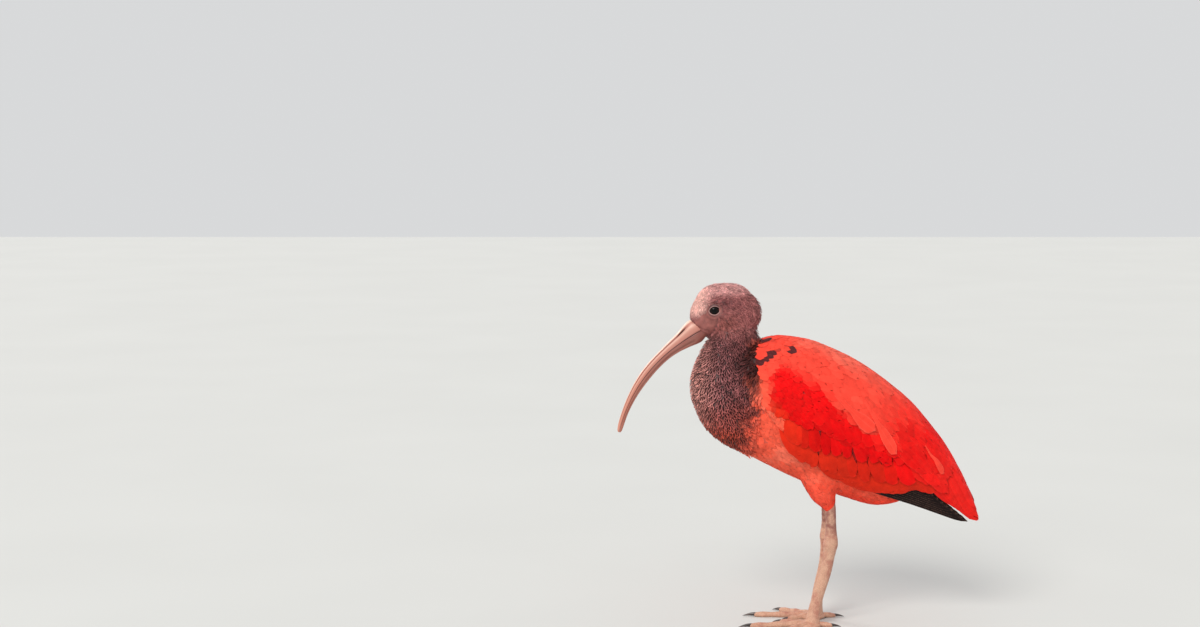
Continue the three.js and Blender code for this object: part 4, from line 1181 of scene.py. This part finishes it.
def add_tiers(side, name):
    """The flight feathers' visible parts and the rows of coverts of one wing, as one mesh."""
    grid = VaneGrid(15, 7)
    parts = []
    for tier in TIERS:
        count = tier["count"]
        share = np.linspace(0, 1, count)
        root = three_places(tier["roots"], share) + RNG.normal(0, 1, (count, 2)) * [1.5, 0.7]
        tip = three_places(tier["tips"], share) + RNG.normal(0, 1, (count, 2)) * [2.0, 0.8]
        width = tier["width"] * varied(0.05, count)
        below = tier.get("stack", 0) * np.arange(count)
        vanes = fold_vanes(grid, FEATHER, root, tip, width, tier["sink"] + below, tier["lift"] + below,
                           tier["tilt"], 0.2)
        tint, fringe = dress_colours(outer_face((root + 2 * tip) / 3))
        tint = mix(tint, ORANGE, tier.get("orange", 0) * RNG.random(count))
        parts.append((vanes, outer_face(root), tint, mix(tint, fringe, 0.6)))
    starts, ends, width = [np.array(column, float) for column in zip(*LOOSE_SCAPULARS)]
    root, tip = [np.stack([s, np.degrees(wing_angle(s, h))], 1) for s, h in (starts.T, ends.T)]
    flat = np.ones((len(width), 1))
    vanes = fold_vanes(grid, LOBED, root, tip, width, 1.2 * flat[:, 0], -0.9 * flat[:, 0], 0.3, 0.3, 2.0)
    parts.append((vanes, outer_face(root), flat * srgb(250, 70, 54), flat * srgb(250, 96, 80)))
    points, roots, tint, fringe = [np.concatenate(part) for part in zip(*parts)]
    shade = np.clip(varied(0.05, len(tint)), 0.85, 1.15)[:, None]
    return vane_piece(f"{name}_wing_feathers", "vane", grid, points, roots, tint * shade, fringe * shade,
                      side)


# The dark flight feathers and the tail: root and tip along the trunk, across it and to the side
PRIMARIES = dict(count=8, root=(-36, 151.5, 33.5), tip=(80, 173.5, 4.3), width=9.5, bow=3, step_s=-7,
                 step_h=2.2, step_side=0.7)
TAIL = dict(count=12, root=(-8, 188), tip=(68, 183), spread=1.7, root_spread=1.0, width=12, step_s=-1.2,
            step_h=-0.7)


def straight_vanes(name, material, lines, upright, tint, fringe, side=1, bow=0):
    """Long vanes between two places each, bowed down. upright ones stand on edge, the others lie flat."""
    grid = VaneGrid(18, 7)
    lines = np.asarray(lines, float)
    start, end, width = lines[:, 0:3], lines[:, 3:6], lines[:, 6]
    spine = start[:, None] + grid.along[None, :, None] * (end - start)[:, None]
    shares = np.tile(QUILL(grid.along), (len(lines), 1))
    wide, rise = grid.shape(width[:, None] * shares / 2, 0.14, shares)
    s, y = spine[..., 0, None], spine[..., 2, None]
    h = (spine[..., 1] + bow * np.sin(np.pi * grid.along))[..., None]
    if upright:
        points = trunk_point(s, h + wide, y + rise)
    else:
        points = trunk_point(s, h + rise - 0.04 * np.abs(wide), y + wide)
    flat = np.ones((len(lines), 1))
    return vane_piece(name, material, grid, points, trunk_point(*start.T), flat * tint, flat * fringe, side)


def add_primaries(side, name):
    p = PRIMARIES
    root, tip = np.array(p["root"], float), np.array(p["tip"], float)
    slope = (tip - root) / (tip[0] - root[0])
    lines = []
    for i in range(p["count"]):
        offset = np.array([0, p["step_h"] * i, p["step_side"] * (i - p["count"] / 2)])
        start = root + offset * [0, 1, 0.4]
        end = root + slope * (tip[0] + p["step_s"] * i - root[0]) + offset
        lines.append([*start, *end, p["width"]])
    return straight_vanes(f"{name}_primary_feathers", "dark", lines, True, BLACK, srgb(98, 74, 64), side,
                          p["bow"])


def add_tail():
    f = TAIL
    lines = []
    for i in range(f["count"]):
        out = i - (f["count"] - 1) / 2
        drop = f["step_h"] * abs(out)
        end = f["tip"][0] + f["step_s"] * abs(out), f["tip"][1] + drop, out * f["spread"]
        lines.append([f["root"][0], f["root"][1] + drop, out * f["root_spread"], *end, f["width"]])
    return straight_vanes("tail_feathers", "vane", lines, False, SCARLET, CORAL)


# Bill: its curve in side view and its sizes by the distance from the face

BILL_BASE = (-127.1, 305.2)
BILL_START = math.radians(28.2)
BILL_RADIUS = 156.4
BILL_LENGTH = 134.3
BILL_SUNK = 10
BASE_RISE = 3.4
BILL_DEPTH = [(-10, 15), (0, 22), (14, 18.6), (26, 15), (40, 12.4), (70, 10.9), (97, 8), (113, 6.5),
              (126, 5.8), (132, 4.6), (134.3, 2.4)]
BILL_WIDTH = [(-10, 12.6), (0, 15.6), (20, 12.4), (50, 9.6), (85, 7.6), (118, 6), (131, 4.6), (134.3, 2.6)]
BILL_MOUTH = [(-10, 0.02), (30, -0.04), (80, -0.02), (134.3, 0)]
BILL_STEPS = 160
MOUTH_POINTS = 7


def bill_frame(along):
    slope = BILL_START + along / BILL_RADIUS
    x = BILL_BASE[0] - BILL_RADIUS * (math.sin(slope) - math.sin(BILL_START))
    z = BILL_BASE[1] - BILL_RADIUS * (math.cos(BILL_START) - math.cos(slope))
    return np.array([x, 0, z]), np.array([-math.sin(slope), 0, math.cos(slope)])

def nostril_share(along):
    return math.exp(-((along - 12) / 5) ** 4)


def bill_section(upper, along):
    """The outline of one half of the bill, from the mouth line round to it again, with the grooves."""
    groove = float(ramp(along, 1, 9) * (1 - ramp(along, 118, 130)))
    angle = np.linspace(0, np.pi, 65)
    across = np.cos(angle)
    height = np.sin(angle) ** 0.8
    if upper:
        notch = bell(np.abs(across) - 0.66, 0.09) * groove
        across = across * (1 - (0.16 + 0.34 * nostril_share(along)) * notch)
        height = height * (1 - 0.12 * notch) + 0.02
    else:
        notch = bell(np.abs(across) - 0.84, 0.1) * groove
        across = across * (1 - 0.14 * notch)
    mouth, level = np.linspace(-1, 1, MOUTH_POINTS + 2)[1:-1], np.zeros(MOUTH_POINTS)
    return [np.concatenate(pair) for pair in ((across, mouth), (height, level), (notch, level))]


def bill_tint(upper, along, flat, tall, cut):
    """The colour round one section, across it and up it: painted highlights along the ridge, low on each side
    and on the lower edge, and painted shade in the grooves, the nostril and along the mouth.
    """
    nostril = nostril_share(along) if upper else 0
    if upper:
        # Painted highlight along the ridge and in a thin line low on each side
        tint = mix(srgb(190, 122, 108), srgb(236, 200, 182), ramp(np.clip(tall, 0, 1), 0.84, 0.97))
        tint = mix(tint, srgb(228, 178, 160), 0.8 * bell(np.abs(flat) - 0.86, 0.08) * (tall > 0.02))
    else:
        # Painted highlight: the lower mandible is painted lighter towards its lower edge
        tint = mix(srgb(158, 92, 82), srgb(190, 118, 104), ramp(tall, 0.3, 1.0))
        tint = mix(tint, srgb(120, 58, 52), 0.55 * (1 - ramp(along, -4, 22)))
    tint = mix(tint, srgb(206, 120, 92), 0.45 * ramp(along, 20, 125))
    # Painted shade in the grooves, darkest in the nostril
    tint = mix(tint, mix(srgb(120, 66, 58), srgb(34, 16, 16), nostril), cut * (0.75 + 0.25 * nostril))
    # Painted shade along the mouth line
    return mix(tint, srgb(96, 44, 42), bell(tall, 0.09) * 0.6)


def add_bill_half(upper):
    depth, width, mouth = profile(BILL_DEPTH), profile(BILL_WIDTH), profile(BILL_MOUTH)
    order = slice(None, None, 1 if upper else -1)
    rows = []
    for i in range(BILL_STEPS + 1):
        along = -BILL_SUNK + (BILL_LENGTH + BILL_SUNK) * (1 - (1 - i / BILL_STEPS) ** 1.35)
        centre, up = bill_frame(along)
        line = float(mouth(along) * depth(along))
        full = float(depth(along)) / 2
        rise = BASE_RISE * float(1 - ramp(along, -4, 20))
        reach = full - line + rise if upper else -(full + line)
        flat, tall, cut = bill_section(upper, along)
        base = centre + up * (line + (0.12 if upper else -0.12))
        ring = base + SIDEWAYS * (flat * float(width(along)) / 2)[:, None] + up * (tall * reach)[:, None]
        tint = bill_tint(upper, along, flat, tall, cut)
        grain = np.stack([np.full(len(flat), along * 0.0002), flat * 0.006, tall * 0.006], axis=1)
        rows.append([part[order] for part in (ring, tint, tint * 0.82 + 0.1 * srgb(230, 190, 170), grain)])
    rings, tints, fringes, grains = zip(*rows)
    piece = make_mesh("upper_bill" if upper else "lower_bill", *loft(rings))
    paint(piece, "Grain", with_ends(grains))
    return dress_up(piece, "bill", with_ends(tints), with_ends(fringes))


# Eyes and lids

def add_eye(side, name):
    ball = bmesh.new()
    bmesh.ops.create_uvsphere(ball, u_segments=40, v_segments=28, radius=EYE_RADIUS * MM)
    move = Matrix.Translation(place((EYE[0], side * EYE[1], EYE[2]))) @ Matrix.Rotation(math.pi / 2, 4, "X")
    bmesh.ops.transform(ball, matrix=move, verts=ball.verts)
    mesh = bpy.data.meshes.new(f"{name}_eyeball")
    ball.to_mesh(mesh)
    ball.free()
    shade_smooth(mesh)
    mesh.materials.append(MATERIALS["eye"])
    return add_object(f"{name}_eyeball", mesh)


# Colours of the rings of a lid, from the ball over the rim to the skin and back under it
LID_SHADES = [(30, 20, 20), (44, 28, 28), (112, 78, 78), (196, 152, 146), (150, 104, 100), (104, 62, 62),
              (124, 74, 72), (134, 80, 76), (136, 80, 74), (136, 80, 74), (136, 80, 74), (50, 34, 34)]


def add_lids(side, name, skin):
    """The fleshy rim round the eye hugs the ball inside and runs out into the skin."""
    sides = 84
    turn = 2 * np.pi * np.arange(sides) / sides
    wide, tall = np.abs(np.cos(turn) / LID["wide"]), np.abs(np.sin(turn) / LID["tall"])
    opening = (wide ** LID["corners"] + tall ** LID["corners"]) ** (-1 / LID["corners"])
    way = np.stack([np.cos(turn + LID["tilt"]), np.sin(turn + LID["tilt"])], axis=1)
    ball = EYE[1] + np.sqrt(EYE_RADIUS ** 2 - opening ** 2)
    upper = ramp(way[:, 1], 0.0, 0.5)

    def skin_level(reach):
        flat = np.array([EYE[0], EYE[2]]) + way * reach[:, None]
        hits = [skin.tree.ray_cast(Vector((x, side * 40, z)), Vector((0, -side, 0)))[0] for x, z in flat]
        return np.array([side * hit[1] for hit in hits])

    outer, rim, edge = [np.full(sides, reach) for reach in (6.7, 7.6, 8.6)]
    between = (opening + 1.5 + outer) / 2
    crease = 0.35 * upper * np.sin(np.pi * np.clip(way[:, 1], 0, 1))
    rings = [(opening + 0.1, ball - 0.8), (opening, ball + 0.1), (opening + 0.12, ball + 0.42),
             (opening + 0.5, ball + 0.6), (opening + 0.95, ball + 0.42), (opening + 1.5, ball + 0.1 - crease),
             (between, (ball + skin_level(between)) / 2 + 0.35), (outer, skin_level(outer) + 0.3),
             (rim, skin_level(rim) + 0.05), (edge, skin_level(edge) - 0.7),
             (outer, skin_level(outer) - 1.6), (opening + 1.0, ball - 1.6)]
    points, tint, faces = [], [], []
    for r, ((reach, out), shade) in enumerate(zip(rings, LID_SHADES)):
        flat = way * (reach + 0.05 * np.sin(11 * turn + 3 * reach))[:, None]
        points.append(np.stack([EYE[0] + flat[:, 0], side * out, EYE[2] + flat[:, 1]], axis=1))
        colour = np.tile(srgb(*shade), (sides, 1))
        tint.append(mix(colour, srgb(66, 34, 38), 0.8 * upper) if r in (4, 5, 6) else colour)
        here, after = r * sides, (r + 1) % len(rings) * sides
        for i in range(sides):
            j = (i + 1) % sides
            face = (here + i, here + j, after + j, after + i)
            faces.append(face[::-1] if side > 0 else face)
    piece = make_mesh(f"{name}_lids", np.concatenate(points), faces)
    tint = np.concatenate(tint)
    return dress_up(piece, "skin", tint, mix(tint, BLUSH, 0.3))


# Legs and feet

SHANK = [(12.4, 131, 5.2, 5.2, 4.8), (12.9, 122, 5.4, 5.4, 5.0), (13.4, 108, 5.4, 5.4, 5.0),
         (13.6, 99, 5.9, 5.9, 5.2), (13.6, 92, 7, 7, 5.8), (13.2, 87, 7.6, 7.6, 6.2),
         (12.3, 80, 6.6, 6.6, 5.2), (10.8, 70.6, 6, 6, 4.4), (8.8, 60, 5.9, 5.9, 4.2),
         (5.9, 49.5, 5.8, 5.8, 4.2), (2.6, 39, 5.8, 5.8, 4.2), (-0.4, 28.4, 5.8, 5.8, 4.3),
         (-2.8, 17.8, 6.2, 6.2, 4.9), (-4, 10, 7, 7, 6.2), (-4.6, 4.2, 8, 8, 8)]
FOOT_X = -4.2
PAD = dict(ahead=6, length=15, half=12.5, height=4.6, rise=2.2)
TOES = [dict(name="middle", turn=4, length=66, claw=12, root=3.7, tip=2.6, joints=3),
        dict(name="outer", turn=37, length=46, claw=9, root=3.5, tip=2.4, joints=3),
        dict(name="inner", turn=-23, length=36, claw=8, root=3.5, tip=2.4, joints=2),
        dict(name="hind", turn=174, length=20, claw=9, root=3.3, tip=2.2, joints=1)]
TOE_HEIGHT = 3.4


def add_leg_piece(name, points, faces):
    """A piece of the bare leg, paler below the hock."""
    tint = mix(srgb(208, 160, 134), srgb(188, 128, 108), ramp(noise(points, 7, 6), 0.35, 0.8))
    tint = mix(tint, srgb(146, 92, 80), 0.9 * ramp(points[:, 2], 92, 108))
    return dress_up(make_mesh(name, points, faces), "leg", tint, mix(tint, srgb(224, 180, 152), 0.6))


def loft_down(rings):
    """A lofted form, flat where it would reach into the ground."""
    points, faces = loft(rings)
    points[:, 2] = np.maximum(points[:, 2], 0.0)
    return points, faces


def add_leg(side, name):
    """The bare shank, hock and tarsus with a row of scutes down the front."""
    points, faces = limb(SHANK, 150, 40, 0, side)
    z = points[:, 2]
    middle = profile([(row[1], row[0]) for row in SHANK[::-1]])(z)
    front = ramp(-(points[:, 0] - middle - set_back(side, z)), 1.5, 5)
    scute = np.abs(((z / 4.2) % 1) - 0.5) * 2
    relief = (0.1 - 0.22 * scute ** 3) * front + 0.14 * (noise(points, 1.7, 9) - 0.5)
    out = unit(points - np.stack([middle, np.full(len(z), side * LEG_SIDE), z], axis=1))
    return add_leg_piece(f"{name}_lower_leg", points + out * (relief * ramp(z, 3, 9))[:, None], faces)


def add_foot_pad(side, name):
    centre = np.array([FOOT_X + set_back(side, 0) - PAD["ahead"], side * LEG_SIDE, PAD["rise"]])
    rings = []
    for i in range(17):
        angle = math.pi * (0.02 + 0.96 * i / 16)
        wide, height = PAD["half"] * math.sin(angle), PAD["height"] * math.sin(angle)
        middle = centre + [-math.cos(angle) * PAD["length"], 0, 0]
        rings.append(oval(40, middle, UP, SIDEWAYS, height, height, wide))
    points, faces = loft_down(rings)
    points[:, 2] += 0.5 * (noise(points, 3.2, 11) - 0.5) * ramp(points[:, 2], 0.2, 2)
    return add_leg_piece(f"{name}_foot", points, faces)


def toe_line(spec, side):
    turn = math.radians(spec["turn"])
    ahead = np.array([-math.cos(turn), side * math.sin(turn), 0])
    across = np.array([-ahead[1], ahead[0], 0])
    root = np.array([FOOT_X + set_back(side, 0), side * LEG_SIDE, 0])
    return root, ahead, across


def add_toe(spec, side, name):
    """A toe with pads under its joints and a row of plates along its top."""
    root, ahead, across = toe_line(spec, side)
    steps = max(int(spec["length"] * 1.6), 24)
    rings = []
    for i in range(steps + 1):
        t = i / steps
        swell = 1 + 0.12 * math.cos(2 * math.pi * t * (spec["joints"] + 0.5))
        radius = (spec["root"] + (spec["tip"] - spec["root"]) * t) * swell
        if i > steps - 3:
            radius *= 1 - 0.12 * (i - steps + 2)
        centre = root + ahead * spec["length"] * t
        centre[2] = TOE_HEIGHT + (spec["tip"] * 0.82 - TOE_HEIGHT) * t
        plate = ((spec["length"] * t / 2.3) % 1) ** 2
        rings.append(oval(24, centre, UP, across, radius + 0.22 * plate, radius, radius))
    return add_leg_piece(f"{name}_{spec['name']}_toe", *loft_down(rings))


def add_claw(spec, side, name):
    root, ahead, across = toe_line(spec, side)
    rings = []
    for i in range(21):
        t = i / 20
        centre = root + ahead * (spec["length"] - 1.6 + (spec["claw"] + 1.9) * t)
        centre[2] = max(spec["tip"] * (0.95 + 0.4 * t - 1.1 * t * t), 0.35)
        radius = spec["tip"] * 0.84 * (1 - 0.9 * t ** 1.4)
        rings.append(oval(20, centre, UP, across, radius, radius * 0.8, radius * 0.78))
    piece = make_mesh(f"{name}_{spec['name']}_claw", *loft_down(rings))
    piece.data.materials.append(MATERIALS["claw"])
    return piece


def stand_for(piece, slot, *nodes):
    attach(piece, "root")
    if nodes:
        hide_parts(*nodes)

SIDES = ((-1, "left"), (1, "right"))

add_camera()
add_studio()
MATERIALS["skin"] = skin_material()
MATERIALS["down"] = feather_material("head_feathers", 0.8, 30, 0.34, 0.8, sheen=0.1)
MATERIALS["lace"] = feather_material("neck_feathers", 0.75, 44, 0.3, 0.72, sheen=0.08)
MATERIALS["soft"] = feather_material("body_feathers", 0.8, 60, 0.55, 1.1, grain=0.05)
MATERIALS["vane"] = feather_material("wing_feathers", 0.6, 130, 0.8, 1.1, shaft=0.25, grain=0.11)
MATERIALS["dark"] = feather_material("dark_feathers", 0.42, 190, 0.86, 1.05, shaft=0.3)
MATERIALS["bill"] = bill_material()
MATERIALS["leg"] = leg_material()
MATERIALS["claw"] = claw_material()
MATERIALS["eye"] = eye_material()

skin, skin_surface = add_skin()
stand_for(skin, "bare_skin", "head", "neck", "torso", "left_thigh", "right_thigh")
add_coats(skin_surface, dress_surface())
stand_for(add_bill_half(True), "bill_horn", "bill_upper")
stand_for(add_bill_half(False), "bill_horn", "bill_lower")
stand_for(add_tail(), "scarlet_feathers", "tail")
for side, name in SIDES:
    stand_for(add_tiers(side, name), "scarlet_feathers", f"{name}_wing")
    stand_for(add_primaries(side, name), "black_feathers", f"{name}_primaries")
    stand_for(add_eye(side, name), "eye", f"{name}_eye")
    stand_for(add_lids(side, name, skin_surface), "bare_skin")
    stand_for(add_leg(side, name), "leg_skin", f"{name}_shank", f"{name}_tarsus")
    stand_for(add_foot_pad(side, name), "leg_skin")
    for spec in TOES:
        stand_for(add_toe(spec, side, name), "leg_skin", f"{name}_toe_{spec['name']}")
        stand_for(add_claw(spec, side, name), "claw_horn", f"{name}_claw_{spec['name']}")
